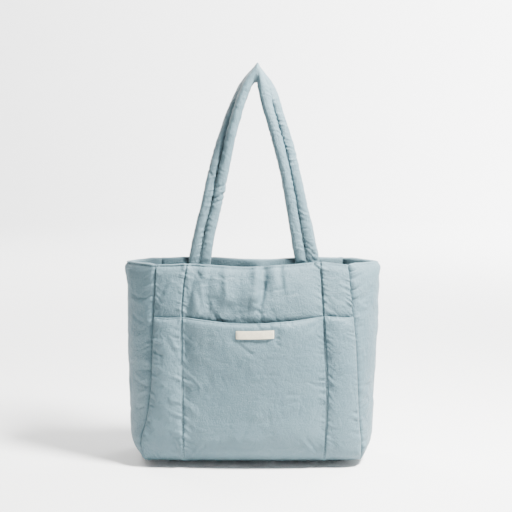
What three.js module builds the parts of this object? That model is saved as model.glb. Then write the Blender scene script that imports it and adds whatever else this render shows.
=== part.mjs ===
// A padded shoulder tote in crinkled nylon: quilted front and back walls, side gussets that fold outward,
// a padded base, a slip pocket across the whole front, a woven label and two twin-channel handles that
// rise to one point. Millimetres, +Z up, the front faces -Y, and the origin is on the floor under the base.
import * as THREE from 'three';

// Driving dimensions of the body.
const width = 380; // across the side folds at the rim
const height = 300; // floor to rim
const depth = 120; // front seam to back seam at the base
const bow = 5; // how far the middle of the front and back stands out from the corner seams
const seamThickness = 3; // cloth and wadding pressed flat by a row of stitches
const wallPuff = 8; // wadding standing out between seams on the front and back
const coveredPuff = 4; // the same behind the pocket, where the pocket presses on it
const sidePuff = 5; // the same on a gusset
const liningPuff = 2.5; // wadding standing in, on the lining side
const roll = 20; // width over which a padded channel rises from its seam
const gussetWidth = 120; // flat width of a gusset from seam to seam
const rimPuffShare = 0.35; // share of the padding that is left at the turned rim
const rimRoll = 12; // height over which the padding thins towards the rim
const rimWave = 4; // most that the rim wanders from its height
const foldDepth = 4; // depth of the soft folds below the rim

// Driving dimensions of the base, the pocket and the label.
const baseLift = 8; // height of the seam around the base
const baseRoll = 14; // width over which the padded base rises to that seam
const pocketHeight = 220.5; // floor to the pocket's edge at the corner seams
const pocketSag = 3.5; // drop of the pocket's edge at its middle
const pocketThickness = 2.5; // pocket cloth and wadding at a row of stitches
const pocketPuff = 5; // wadding of the pocket between its seams
const pocketMouth = 11; // how far the middle pocket hangs open
const sidePocketMouth = 1.5; // how far a side pocket hangs open
const pocketCloseHeight = 60; // height below which the pocket lies on the wall
const labelWidth = 56;
const labelHeight = 14;
const labelThickness = 1;
const labelShift = 3; // the label's middle, right of the bag's middle
const labelDrop = 15; // from the pocket's edge down to the label's middle

// Driving dimensions of the handles.
const handleWidth = 33;
const handleThickness = 13; // across a padded channel
const handleSeam = 5; // across the stitched middle between the two channels
const handleEnd = 7; // across the pressed end that is sewn in behind the rim
const handleTuck = 16; // how far the end reaches down behind the rim
const handleSpread = 158; // between the middles of one handle's two feet
const handleRise = 278; // from the rim to the middle of the handle at its peak
const handlePeakGap = 15; // from the bag's middle plane to a handle's middle at the peak
const handlePeakShift = 5; // the peak, right of the bag's middle
const handlePeakHeight = 26; // height of the section where the two legs meet
const handlePeakLean = 4; // how far that section's top stands right of its foot
const backHandleSpread = 164; // the same spread on the back handle

const gap = 0.3; // clearance between pieces that are sewn together

// The body's outline. level is a share of the height. Seams, folds and stitches are shares of half the
// width, depth is a share of half the depth, and sharp is how pointed the gusset's fold is (1 is a V).
const bodyRows = [
  { level: 0.0, seamLeft: 0.83, seamRight: 0.84, foldLeft: 0.9, foldRight: 0.885, stitchLeft: 0.535, stitchRight: 0.553, depth: 0.97, sharp: 2.4 },
  { level: 0.06, seamLeft: 0.862, seamRight: 0.843, foldLeft: 0.952, foldRight: 0.922, stitchLeft: 0.537, stitchRight: 0.555, depth: 1.0, sharp: 2.4 },
  { level: 0.12, seamLeft: 0.868, seamRight: 0.84, foldLeft: 0.974, foldRight: 0.94, stitchLeft: 0.537, stitchRight: 0.558, depth: 1.0, sharp: 2.3 },
  { level: 0.2, seamLeft: 0.832, seamRight: 0.829, foldLeft: 0.984, foldRight: 0.953, stitchLeft: 0.537, stitchRight: 0.563, depth: 0.985, sharp: 2.2 },
  { level: 0.35, seamLeft: 0.796, seamRight: 0.817, foldLeft: 0.991, foldRight: 0.966, stitchLeft: 0.54, stitchRight: 0.571, depth: 0.95, sharp: 2.0 },
  { level: 0.6, seamLeft: 0.779, seamRight: 0.8, foldLeft: 1.0, foldRight: 0.983, stitchLeft: 0.547, stitchRight: 0.553, depth: 0.86, sharp: 1.7 },
  { level: 0.8, seamLeft: 0.766, seamRight: 0.768, foldLeft: 1.0, foldRight: 0.994, stitchLeft: 0.541, stitchRight: 0.536, depth: 0.78, sharp: 1.4 },
  { level: 1.0, seamLeft: 0.753, seamRight: 0.742, foldLeft: 1.0, foldRight: 1.0, stitchLeft: 0.511, stitchRight: 0.52, depth: 0.7, sharp: 1.25 },
];

// The rim's waves. across runs from the left corner seam (-1) to the right one (1), and lift is a share
// of rimWave.
const frontRimRows = [
  { across: -1.0, lift: -0.25 },
  { across: -0.6, lift: 0.2 },
  { across: -0.1, lift: -0.8 },
  { across: 0.35, lift: -0.1 },
  { across: 0.7, lift: 0.75 },
  { across: 1.0, lift: -0.25 },
];
const backRimRows = [
  { across: -1.0, lift: -0.25 },
  { across: -0.55, lift: 0.1 },
  { across: 0.1, lift: -1.0 },
  { across: 0.6, lift: -0.1 },
  { across: 1.0, lift: -0.25 },
];
const gussetRimDip = 1.1; // share of rimWave that the rim drops at a gusset's fold

// Soft upright folds below the rim. top and foot run between the two rows of stitches (-1 to 1), high
// and low are shares of the bag's height, spread is a share of the roll, and rise is a share of foldDepth.
const rimFolds = [
  { top: -0.86, foot: -0.9, high: 0.93, low: 0.72, spread: 0.25, rise: -0.55 },
  { top: -0.72, foot: -0.78, high: 0.96, low: 0.72, spread: 0.35, rise: 0.5 },
  { top: -0.66, foot: -0.52, high: 0.9, low: 0.7, spread: 0.4, rise: -0.8 },
  { top: -0.38, foot: -0.4, high: 1.0, low: 0.8, spread: 0.5, rise: 0.35 },
  { top: -0.2, foot: -0.24, high: 0.9, low: 0.72, spread: 0.55, rise: -0.55 },
  { top: 0.03, foot: 0.0, high: 1.0, low: 0.78, spread: 0.3, rise: 0.55 },
  { top: 0.16, foot: 0.07, high: 1.0, low: 0.78, spread: 0.3, rise: -1.0 },
  { top: 0.42, foot: 0.42, high: 1.0, low: 0.86, spread: 0.35, rise: -0.4 },
];

// Both legs of a handle from their feet to the peak. rise is a share of handleRise, outLeft and outRight
// are shares of half the spread, turnLeft and turnRight are the twist in degrees, girthLeft and
// girthRight scale the section, plump is the share of padding left, and lean is 0 where a section is
// square to the leg and 1 where it stands upright at the peak.
const handleRows = [
  {
    rise: 0.0, outLeft: 0.99, outRight: 1.012, turnLeft: 0, turnRight: 0,
    girthLeft: 0.97, girthRight: 1.04, plump: 0, lean: 0,
  },
  {
    rise: 0.013, outLeft: 0.988, outRight: 1.005, turnLeft: 0, turnRight: 0,
    girthLeft: 0.97, girthRight: 1.04, plump: 0.03, lean: 0,
  },
  {
    rise: 0.04, outLeft: 0.975, outRight: 0.98, turnLeft: 2, turnRight: 0,
    girthLeft: 0.97, girthRight: 1.03, plump: 0.7, lean: 0,
  },
  {
    rise: 0.085, outLeft: 0.95, outRight: 0.945, turnLeft: 6, turnRight: 0,
    girthLeft: 0.96, girthRight: 1.02, plump: 0.97, lean: 0,
  },
  {
    rise: 0.165, outLeft: 0.898, outRight: 0.889, turnLeft: 12, turnRight: 4,
    girthLeft: 0.94, girthRight: 1.0, plump: 1.0, lean: 0,
  },
  {
    rise: 0.27, outLeft: 0.815, outRight: 0.811, turnLeft: 16, turnRight: 10,
    girthLeft: 0.93, girthRight: 0.98, plump: 1.0, lean: 0,
  },
  {
    rise: 0.375, outLeft: 0.737, outRight: 0.732, turnLeft: 18, turnRight: 18,
    girthLeft: 0.96, girthRight: 0.98, plump: 1.0, lean: 0,
  },
  {
    rise: 0.48, outLeft: 0.664, outRight: 0.65, turnLeft: 28, turnRight: 26,
    girthLeft: 0.94, girthRight: 0.97, plump: 1.0, lean: 0,
  },
  {
    rise: 0.58, outLeft: 0.588, outRight: 0.56, turnLeft: 38, turnRight: 28,
    girthLeft: 0.95, girthRight: 0.98, plump: 1.0, lean: 0,
  },
  {
    rise: 0.675, outLeft: 0.506, outRight: 0.46, turnLeft: 50, turnRight: 32,
    girthLeft: 0.97, girthRight: 0.98, plump: 1.0, lean: 0,
  },
  {
    rise: 0.76, outLeft: 0.425, outRight: 0.365, turnLeft: 57, turnRight: 36,
    girthLeft: 0.97, girthRight: 0.97, plump: 1.0, lean: 0,
  },
  {
    rise: 0.84, outLeft: 0.33, outRight: 0.268, turnLeft: 65, turnRight: 43,
    girthLeft: 0.96, girthRight: 0.96, plump: 0.98, lean: 0,
  },
  {
    rise: 0.905, outLeft: 0.24, outRight: 0.19, turnLeft: 71, turnRight: 53,
    girthLeft: 0.93, girthRight: 0.93, plump: 0.95, lean: 0.05,
  },
  {
    rise: 0.955, outLeft: 0.145, outRight: 0.115, turnLeft: 78, turnRight: 68,
    girthLeft: 0.89, girthRight: 0.89, plump: 0.93, lean: 0.25,
  },
  {
    rise: 0.99, outLeft: 0.045, outRight: 0.045, turnLeft: 86, turnRight: 84,
    girthLeft: 0.85, girthRight: 0.85, plump: 0.92, lean: 0.75,
  },
];

const nylon = new THREE.MeshStandardMaterial({ color: 0xa9bcc2, roughness: 0.62, metalness: 0 });
const woven = new THREE.MeshStandardMaterial({ color: 0xe6e1d3, roughness: 0.8, metalness: 0 });

// The value of one column of a table at a place, on a smooth curve through the rows.
function along(rows, placeName, name, place) {
  const last = rows.length - 1;
  let i = 0;
  while (i < last - 1 && place > rows[i + 1][placeName]) i += 1;
  const slope = (k) => {
    const a = rows[Math.max(k - 1, 0)];
    const b = rows[Math.min(k + 1, last)];
    return (b[name] - a[name]) / (b[placeName] - a[placeName]);
  };
  const [p, q] = [rows[i], rows[i + 1]];
  const span = q[placeName] - p[placeName];
  const t = THREE.MathUtils.clamp((place - p[placeName]) / span, 0, 1);
  const [t2, t3] = [t * t, t * t * t];
  return (
    p[name] * (2 * t3 - 3 * t2 + 1) +
    q[name] * (3 * t2 - 2 * t3) +
    slope(i) * span * (t3 - 2 * t2 + t) +
    slope(i + 1) * span * (t3 - t2)
  );
}

// 0 at a seam, rising as a quarter round to 1 at one roll's width from it.
function shoulder(distance, rollWidth = roll) {
  const short = 1 - THREE.MathUtils.clamp(distance / rollWidth, 0, 1);
  return Math.sqrt(1 - short * short);
}

// Places from 0 to 1 that lie closer together at both ends.
function crowded(count) {
  return Array.from({ length: count + 1 }, (_, i) => (1 - Math.cos((Math.PI * i) / count)) / 2);
}

// The outline at one level, in millimetres.
function outlineAt(level) {
  const half = (name) => along(bodyRows, 'level', name, level) * (width / 2);
  return {
    seamLeft: half('seamLeft'),
    seamRight: half('seamRight'),
    foldLeft: half('foldLeft'),
    foldRight: half('foldRight'),
    stitchLeft: half('stitchLeft'),
    stitchRight: half('stitchRight'),
    depth: along(bodyRows, 'level', 'depth', level) * (depth / 2),
    sharp: along(bodyRows, 'level', 'sharp', level),
  };
}

// Height of a point of the wall, where across runs from corner seam to corner seam.
function wallHeight(level, across, rimRows) {
  const rim = height + rimWave * along(rimRows, 'across', 'lift', across);
  return baseLift + level * (rim - baseLift);
}

// How much of the padding is left near the rim.
function rimShare(level) {
  const toRim = (1 - level) * (height - baseLift);
  return rimPuffShare + (1 - rimPuffShare) * shoulder(toRim, rimRoll);
}

// The three channels of the front and back: their seams from left to right at one level.
function channelLines(outline) {
  return [-outline.seamLeft, -outline.stitchLeft, outline.stitchRight, outline.seamRight];
}

// A place on the front or back, given the channel (0 to 2) and the share of its width.
function wallPlace(level, channel, share) {
  const outline = outlineAt(level);
  const lines = channelLines(outline);
  const x = THREE.MathUtils.lerp(lines[channel], lines[channel + 1], share);
  const across = x < 0 ? x / outline.seamLeft : x / outline.seamRight;
  return {
    x,
    across,
    level,
    outline,
    channel,
    share,
    seamY: outline.depth + bow * (1 - across * across),
    toLeft: x - lines[channel],
    toRight: lines[channel + 1] - x,
    toBase: level * (height - baseLift),
    insetShare: 1 - seamThickness / (x < 0 ? outline.seamLeft : outline.seamRight),
  };
}

// The pillow of padding between the seams around a place.
function pillow(place) {
  return shoulder(place.toLeft) * shoulder(place.toRight) * shoulder(place.toBase);
}

// The soft folds below the rim: how far the wall stands out because of them.
function foldRise(place) {
  const middle = (place.outline.stitchRight - place.outline.stitchLeft) / 2;
  const halfSpan = (place.outline.stitchRight + place.outline.stitchLeft) / 2;
  let sum = 0;
  for (const fold of rimFolds) {
    const reach = THREE.MathUtils.clamp((place.level - fold.low) / (fold.high - fold.low), 0, 1);
    const x = middle + halfSpan * THREE.MathUtils.lerp(fold.foot, fold.top, reach);
    const away = (place.x - x) / (fold.spread * roll);
    const fadeBelow = THREE.MathUtils.smoothstep(place.level, fold.low - 0.06, fold.low + 0.04);
    const fadeAbove = 1 - THREE.MathUtils.smoothstep(place.level, fold.high - 0.02, fold.high + 0.12);
    sum += fold.rise * Math.exp(-away * away) * fadeBelow * fadeAbove;
  }
  return place.channel === 1 ? sum * foldDepth * pillow(place) : 0;
}

// How far the front wall stands out from its seams. Behind the pocket it is pressed flatter.
function frontRise(place) {
  const edgeLevel = pocketHeight / height;
  const free = THREE.MathUtils.smoothstep(place.level, edgeLevel - 0.04, edgeLevel + 0.15);
  const puff = THREE.MathUtils.lerp(coveredPuff, wallPuff, free);
  return puff * pillow(place) * rimShare(place.level) + free * foldRise(place);
}

function backRise(place) {
  return wallPuff * pillow(place) * rimShare(place.level);
}

function liningRise(place) {
  return seamThickness + liningPuff * pillow(place) * rimShare(place.level);
}

// A closed solid between two grids of points that have the same rows and columns. The first grid is the
// face that is seen with its rows going up and its columns going right.
function slab(outer, inner) {
  const rows = outer.length;
  const columns = outer[0].length;
  const positions = [];
  for (const grid of [outer, inner]) {
    for (const row of grid) for (const point of row) positions.push(point.x, point.y, point.z);
  }
  const front = (r, c) => r * columns + c;
  const back = (r, c) => rows * columns + r * columns + c;
  const index = [];
  const quad = (a, b, c, d) => index.push(a, b, c, a, c, d);
  for (let r = 0; r < rows - 1; r += 1) {
    for (let c = 0; c < columns - 1; c += 1) {
      quad(front(r, c), front(r, c + 1), front(r + 1, c + 1), front(r + 1, c));
      quad(back(r, c), back(r + 1, c), back(r + 1, c + 1), back(r, c + 1));
    }
    quad(front(r, 0), front(r + 1, 0), back(r + 1, 0), back(r, 0));
    quad(front(r, columns - 1), back(r, columns - 1), back(r + 1, columns - 1), front(r + 1, columns - 1));
  }
  for (let c = 0; c < columns - 1; c += 1) {
    quad(front(0, c), back(0, c), back(0, c + 1), front(0, c + 1));
    quad(front(rows - 1, c), front(rows - 1, c + 1), back(rows - 1, c + 1), back(rows - 1, c));
  }
  return closedGeometry(positions, index);
}

function closedGeometry(positions, index) {
  const geometry = new THREE.BufferGeometry();
  geometry.setAttribute('position', new THREE.Float32BufferAttribute(positions, 3));
  geometry.setIndex(index);
  geometry.computeVertexNormals();
  return geometry;
}

function piece(name, geometry, material) {
  const mesh = new THREE.Mesh(geometry, material);
  mesh.name = name;
  return mesh;
}

// Channel and share for each column of the front and back, closer together at the seams. The first and
// last columns stand back from the corner seams by half the clearance.
const channelCells = [4, 14, 4];
function wallColumns() {
  const columns = [];
  channelCells.forEach((cells, channel) => {
    crowded(cells).forEach((share, i) => {
      if (i > 0 || channel === 0) columns.push({ channel, share });
    });
  });
  return columns;
}

const wallLevels = [
  0, 0.012, 0.03, 0.065, 0.12, 0.2, 0.32, 0.44, 0.56, 0.62, 0.66, 0.69, 0.73, 0.78, 0.84, 0.9, 0.95, 0.985, 1,
];

// A point of the front wall's outer face. clear shifts it in from the corner seam.
function frontPoint(place) {
  const trim = gap * Math.max(0, Math.abs(place.across) * 8 - 7);
  return new THREE.Vector3(
    place.x - Math.sign(place.across) * trim,
    -(place.seamY + frontRise(place)),
    wallHeight(place.level, place.across, frontRimRows),
  );
}

// A point of the lining of the front (side -1) or the back (side 1), with its corners mitred.
function liningPoint(place, side, rimRows) {
  const trim = gap * Math.max(0, Math.abs(place.across) * 8 - 7);
  return new THREE.Vector3(
    place.x * place.insetShare - Math.sign(place.across) * trim,
    side * (place.seamY - liningRise(place)),
    wallHeight(place.level, place.across, rimRows) + seamThickness * (1 - place.level),
  );
}

function frontPanel() {
  const places = wallLevels.map((level) =>
    wallColumns().map(({ channel, share }) => wallPlace(level, channel, share)));
  const outer = places.map((row) => row.map(frontPoint));
  const inner = places.map((row) => row.map((place) => liningPoint(place, -1, frontRimRows)));
  return piece('front_panel', slab(outer, inner), nylon);
}

function backPanel() {
  const places = wallLevels.map((level) =>
    wallColumns().map(({ channel, share }) => wallPlace(level, channel, share)).reverse());
  const outer = places.map((row) => row.map((place) => {
    const point = frontPoint(place);
    point.y = place.seamY + backRise(place);
    point.z = wallHeight(place.level, place.across, backRimRows);
    return point;
  }));
  const inner = places.map((row) => row.map((place) => liningPoint(place, 1, backRimRows)));
  return piece('back_panel', slab(outer, inner), nylon);
}

// A gusset, side -1 on the left and 1 on the right. across runs from the front seam (-1) to the back.
function gussetPoint(side, level, across, lining) {
  const outline = outlineAt(level);
  const seam = side < 0 ? outline.seamLeft : outline.seamRight;
  const fold = (side < 0 ? outline.foldLeft : outline.foldRight) - sidePuff;
  const toSeam = ((1 - Math.abs(across)) * gussetWidth) / 2;
  const toBase = level * (height - baseLift);
  const padding = shoulder(toSeam) * shoulder(toBase) * rimShare(level);
  const cloth = seam + (fold - seam) * (1 - Math.abs(across) ** outline.sharp);
  const rimDip = gussetRimDip * (1 - across * across) - 0.25 * across * across;
  const rim = height - rimWave * Math.max(rimDip, 0.25);
  const z = baseLift + level * (rim - baseLift);
  if (!lining) {
    const y = across * (outline.depth - gap);
    return new THREE.Vector3(side * (cloth + sidePuff * padding), y, z);
  }
  const y = across * (outline.depth - seamThickness - gap);
  const x = side * (cloth - seamThickness - liningPuff * padding);
  return new THREE.Vector3(x, y, z + seamThickness * (1 - level));
}

function gusset(name, side) {
  const places = crowded(12).map((share) => side * (share * 2 - 1));
  const grid = (lining) => wallLevels.map((level) =>
    places.map((across) => gussetPoint(side, level, across, lining)));
  return piece(name, slab(grid(false), grid(true)), nylon);
}

// The padded base, whose edge follows the foot of the walls. Its underside is flat inside the roll.
function basePanel() {
  const outline = outlineAt(0);
  const lengthShares = [-1, -0.975, -0.94, -0.9, -0.5, 0, 0.5, 0.9, 0.94, 0.975, 1];
  const depthShares = [-1, -0.93, -0.84, -0.74, 0, 0.74, 0.84, 0.93, 1];
  const point = (along_, across, under) => {
    const seam = along_ < 0 ? outline.seamLeft : outline.seamRight;
    const fold = (along_ < 0 ? outline.foldLeft : outline.foldRight) - sidePuff;
    const inset = under ? gap : gap + seamThickness;
    const x = along_ * (seam + (fold - seam) * (1 - Math.abs(across) ** outline.sharp) - inset);
    const y = across * (outline.depth + bow * (1 - along_ * along_) - inset);
    const toEnd = (1 - Math.abs(along_)) * seam;
    const toSide = (1 - Math.abs(across)) * outline.depth;
    const middle = shoulder(toEnd, baseRoll) * shoulder(toSide, baseRoll);
    const top = baseLift + seamThickness - gap + liningPuff * middle;
    return new THREE.Vector3(x, y, under ? (baseLift - gap) * (1 - middle) : top);
  };
  const grid = (under) => depthShares.map((across) =>
    lengthShares.map((along_) => point(along_, -across, under)));
  return piece('base_panel', slab(grid(true), grid(false)), nylon);
}

// Levels of the pocket's rows, which match the wall's, and its foot just above the base seam. The last
// row is the edge.
const pocketFoot = 0.012;
const pocketLevels = [pocketFoot, 0.03, 0.065, 0.12, 0.2, 0.32, 0.44, 0.56, 0.62, 0.66, 0.69];

// The level of the pocket's edge, which sags in the middle channel.
function pocketEdge(channel, share) {
  const sag = channel === 1 ? pocketSag * Math.sin(Math.PI * share) : 0;
  return (pocketHeight - sag - baseLift) / (height - baseLift);
}

// A place on the pocket, which follows the front wall below the edge.
function pocketPlace(level, channel, share) {
  const place = wallPlace(level, channel, share);
  const toFoot = (level - pocketFoot) * (height - baseLift);
  const toEdge = (pocketEdge(channel, share) - level) * (height - baseLift);
  const lane = shoulder(place.toLeft) * shoulder(place.toRight);
  const edge = rimPuffShare + (1 - rimPuffShare) * shoulder(toEdge, rimRoll);
  const open = THREE.MathUtils.smoothstep(level * height, pocketCloseHeight, pocketHeight);
  const mouth = channel === 1 ? pocketMouth : sidePocketMouth;
  const bulge = Math.sin(Math.PI * share) ** 0.7;
  const inner = frontRise(place) + gap + mouth * open * bulge;
  const padding = pocketPuff * lane * shoulder(toFoot) * edge;
  return { ...place, inner, outer: inner + pocketThickness + padding };
}

function pocketPoint(place, rise) {
  const point = frontPoint(place);
  point.y = -(place.seamY + rise);
  return point;
}

function pocketPanel() {
  const row = (levelAt) => wallColumns().map(({ channel, share }) =>
    pocketPlace(levelAt(channel, share), channel, share));
  const places = [...pocketLevels.map((level) => row(() => level)), row(pocketEdge)];
  const outer = places.map((row) => row.map((place) => pocketPoint(place, place.outer)));
  const inner = places.map((row) => row.map((place) => pocketPoint(place, place.inner)));
  return piece('pocket_panel', slab(outer, inner), nylon);
}

// The label follows the pocket's face.
function labelPoint(acrossShare, upShare, away) {
  const x = labelShift + acrossShare * (labelWidth / 2);
  const edge = pocketHeight - pocketSag;
  const z = edge - labelDrop + upShare * (labelHeight / 2);
  const level = (z - baseLift) / (height - baseLift);
  const lines = channelLines(outlineAt(level));
  const channelShare = (x - lines[1]) / (lines[2] - lines[1]);
  const place = pocketPlace(level, 1, channelShare);
  return new THREE.Vector3(x, -(place.seamY + place.outer + away), pocketPoint(place, 0).z);
}

function label() {
  const across = [-1, -0.5, 0, 0.5, 1];
  const up = [-1, 0, 1];
  const grid = (away) => up.map((v) => across.map((u) => labelPoint(u, v, away)));
  return piece('label', slab(grid(gap + labelThickness), grid(gap)), woven);
}

// The handle's section: two round channels beside a stitched middle. reach runs from -1 to 1 across the
// width, and the result is half the thickness there.
function channelHalfThickness(reach, plump) {
  const fromChannel = (Math.abs(reach) - 0.5) / 0.5;
  const round = Math.sqrt(Math.max(0, 1 - fromChannel * fromChannel));
  const middle = (handleSeam / 2) * Math.sqrt(Math.max(0, 1 - reach ** 8));
  const full = THREE.MathUtils.lerp(handleEnd, handleThickness, plump) / 2;
  return Math.max(full * round, middle * 0.9);
}

const sectionReaches = [-1, -0.88, -0.64, -0.36, -0.12, 0.12, 0.36, 0.64, 0.88, 1];

// One closed ring of points around a section with the given middle, edge and face directions.
function sectionRing(middle, toEdge, toFace, girth, plump) {
  const point = (reach, side) => {
    const half = channelHalfThickness(reach, plump) * side;
    return middle.clone()
      .addScaledVector(toEdge, (reach * handleWidth * girth) / 2)
      .addScaledVector(toFace, half);
  };
  const face = sectionReaches.map((reach) => point(reach, 1));
  const under = sectionReaches.slice(1, -1).reverse().map((reach) => point(reach, -1));
  return [...face, ...under];
}

// Depth of the lining behind the rim, at the deepest place that a handle's foot covers.
function liningDepth(x, level) {
  const outline = outlineAt(level);
  const lines = channelLines(outline);
  const channel = x < lines[1] ? 0 : x > lines[2] ? 2 : 1;
  const share = (x - lines[channel]) / (lines[channel + 1] - lines[channel]);
  const place = wallPlace(level, channel, share);
  return place.seamY - liningRise(place);
}

function footDepth(outX) {
  const places = [-0.5, -0.25, 0, 0.25, 0.5].map((share) => outX + share * handleWidth);
  const levels = [0.94, 0.97, 1];
  const depths = levels.flatMap((level) => places.map((x) => liningDepth(x, level)));
  return Math.min(...depths) - gap - handleEnd / 2;
}

// Rings of one handle from its left foot over the peak to its right foot. side is -1 for the front.
function handleRings(side, spread) {
  const footY = footDepth(spread / 2);
  const legRing = (row, hand) => {
    const suffix = hand < 0 ? 'Left' : 'Right';
    const outName = `out${suffix}`;
    const x = hand * row[outName] * (spread / 2) + handlePeakShift * row.rise;
    const y = THREE.MathUtils.lerp(footY, handlePeakGap, Math.max(row.rise, 0) ** 1.5);
    const middle = new THREE.Vector3(x, side * y, height + row.rise * handleRise);
    const tilt = Math.atan(legSlope(row.rise, outName, spread));
    const upright = THREE.MathUtils.lerp(tilt, Math.PI / 2, row.lean);
    // The way along the leg, up towards the peak, and the way across it, away from the peak.
    const way = new THREE.Vector3(-hand * Math.sin(upright), 0, Math.cos(upright));
    const level = new THREE.Vector3(hand * Math.cos(upright), 0, Math.sin(upright));
    const turn = THREE.MathUtils.degToRad(row[`turn${suffix}`]);
    const toEdge = level.multiplyScalar(-Math.cos(turn));
    toEdge.y = side * Math.sin(turn);
    const toFace = new THREE.Vector3().crossVectors(toEdge, way).multiplyScalar(side * hand);
    toFace.multiplyScalar(1 / Math.max(0.5, Math.cos(upright - tilt)));
    return sectionRing(middle, toEdge, toFace, row[`girth${suffix}`], row.plump);
  };
  const foot = { ...handleRows[0], rise: -handleTuck / handleRise };
  const left = [foot, ...handleRows].map((row) => legRing(row, -1));
  const right = [foot, ...handleRows].map((row) => legRing(row, 1)).reverse();
  return [...left, peakRing(side), ...right];
}

// Sideways travel of a leg for each unit that it rises.
function legSlope(rise, outName, spread) {
  const step = 0.01;
  const place = THREE.MathUtils.clamp(rise, step, 0.98);
  const out = (at) => along(handleRows, 'rise', outName, at) * (spread / 2);
  return (out(place - step) - out(place + step)) / (2 * step * handleRise);
}

// The upright section where the two legs of a handle meet.
function peakRing(side) {
  const last = handleRows[handleRows.length - 1];
  const middle = new THREE.Vector3(handlePeakShift, side * handlePeakGap, height + handleRise);
  const toEdge = new THREE.Vector3(0, side, 0);
  const thickness = THREE.MathUtils.lerp(handleEnd, handleThickness, last.plump);
  const toFace = new THREE.Vector3(handlePeakLean, 0, handlePeakHeight).divideScalar(thickness);
  return sectionRing(middle, toEdge, toFace, last.girthLeft, last.plump);
}

// A closed solid through rings that all have the same count of points.
function loft(rings, flip) {
  const count = rings[0].length;
  const positions = [];
  const index = [];
  for (const ring of rings) for (const point of ring) positions.push(point.x, point.y, point.z);
  const tri = (a, b, c) => (flip ? index.push(a, c, b) : index.push(a, b, c));
  for (let r = 0; r < rings.length - 1; r += 1) {
    for (let i = 0; i < count; i += 1) {
      const [a, b] = [r * count + i, r * count + ((i + 1) % count)];
      tri(a, b, b + count);
      tri(a, b + count, a + count);
    }
  }
  const lastStart = (rings.length - 1) * count;
  const half = count / 2;
  for (let i = 0; i < half; i += 1) {
    const [p, q] = [i, (count - i) % count];
    const [pn, qn] = [i + 1, count - i - 1];
    if (p !== q) {
      tri(p, q, qn);
      tri(lastStart + p, lastStart + qn, lastStart + q);
    }
    if (pn !== qn) {
      tri(p, qn, pn);
      tri(lastStart + p, lastStart + pn, lastStart + qn);
    }
  }
  return closedGeometry(positions, index);
}

const tote = new THREE.Group();
tote.add(frontPanel());
tote.add(backPanel());
tote.add(gusset('left_gusset', -1));
tote.add(gusset('right_gusset', 1));
tote.add(basePanel());
tote.add(pocketPanel());
tote.add(label());
tote.add(piece('front_handle', loft(handleRings(-1, handleSpread), false), nylon));
tote.add(piece('back_handle', loft(handleRings(1, backHandleSpread), true), nylon));

export default tote;
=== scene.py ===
"""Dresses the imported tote: quilted nylon walls, gussets, pocket, handles, threads and a bare label."""
import math

import bpy
import numpy as np
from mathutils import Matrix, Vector


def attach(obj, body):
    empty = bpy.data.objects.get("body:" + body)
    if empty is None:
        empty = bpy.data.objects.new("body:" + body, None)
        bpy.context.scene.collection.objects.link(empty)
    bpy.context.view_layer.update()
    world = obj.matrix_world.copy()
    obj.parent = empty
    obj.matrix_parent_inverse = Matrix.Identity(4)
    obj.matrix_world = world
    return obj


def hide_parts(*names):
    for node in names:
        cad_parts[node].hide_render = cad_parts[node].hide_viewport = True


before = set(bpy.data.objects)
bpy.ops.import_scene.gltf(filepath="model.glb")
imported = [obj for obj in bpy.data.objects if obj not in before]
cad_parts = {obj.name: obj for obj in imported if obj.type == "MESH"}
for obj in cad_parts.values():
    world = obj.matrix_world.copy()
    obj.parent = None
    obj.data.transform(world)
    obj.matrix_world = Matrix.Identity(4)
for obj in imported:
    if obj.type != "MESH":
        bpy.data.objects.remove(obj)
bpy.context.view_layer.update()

MM = 0.001

# The body's named sizes, in millimetres, as in the frame.
WIDTH = 380.0
HEIGHT = 300.0
DEPTH = 120.0
BOW = 5.0
SEAM_THICKNESS = 3.0
WALL_PUFF = 8.0
COVERED_PUFF = 4.0
SIDE_PUFF = 5.0
LINING_PUFF = 2.5
ROLL = 20.0
GUSSET_WIDTH = 120.0
RIM_PUFF_SHARE = 0.35
RIM_ROLL = 12.0
RIM_WAVE = 4.0
FOLD_DEPTH = 5.5
BASE_LIFT = 8.0
BASE_ROLL = 14.0
POCKET_HEIGHT = 220.5
POCKET_SAG = 3.5
POCKET_THICKNESS = 2.5
POCKET_PUFF = 5.0
POCKET_MOUTH = 11.0
SIDE_POCKET_MOUTH = 1.5
POCKET_CLOSE_HEIGHT = 60.0
POCKET_FOOT = 0.012
LABEL_WIDTH = 55.0
LABEL_HEIGHT = 11.8
LABEL_THICKNESS = 1.0
LABEL_SHIFT = 3.0
LABEL_DROP = 14.1
HANDLE_WIDTH = 33.0
HANDLE_THICKNESS = 13.0
HANDLE_SEAM = 5.0
HANDLE_END = 7.0
HANDLE_TUCK = 16.0
HANDLE_SPREAD = 158.0
BACK_HANDLE_SPREAD = 164.0
HANDLE_RISE = 278.0
HANDLE_PEAK_GAP = 15.0
HANDLE_PEAK_SHIFT = 5.0
HANDLE_PEAK_HEIGHT = 26.0
HANDLE_PEAK_LEAN = 4.0
GAP = 0.3
WALL_RISE = HEIGHT - BASE_LIFT
LABEL_MIDDLE = POCKET_HEIGHT - POCKET_SAG - LABEL_DROP

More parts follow.
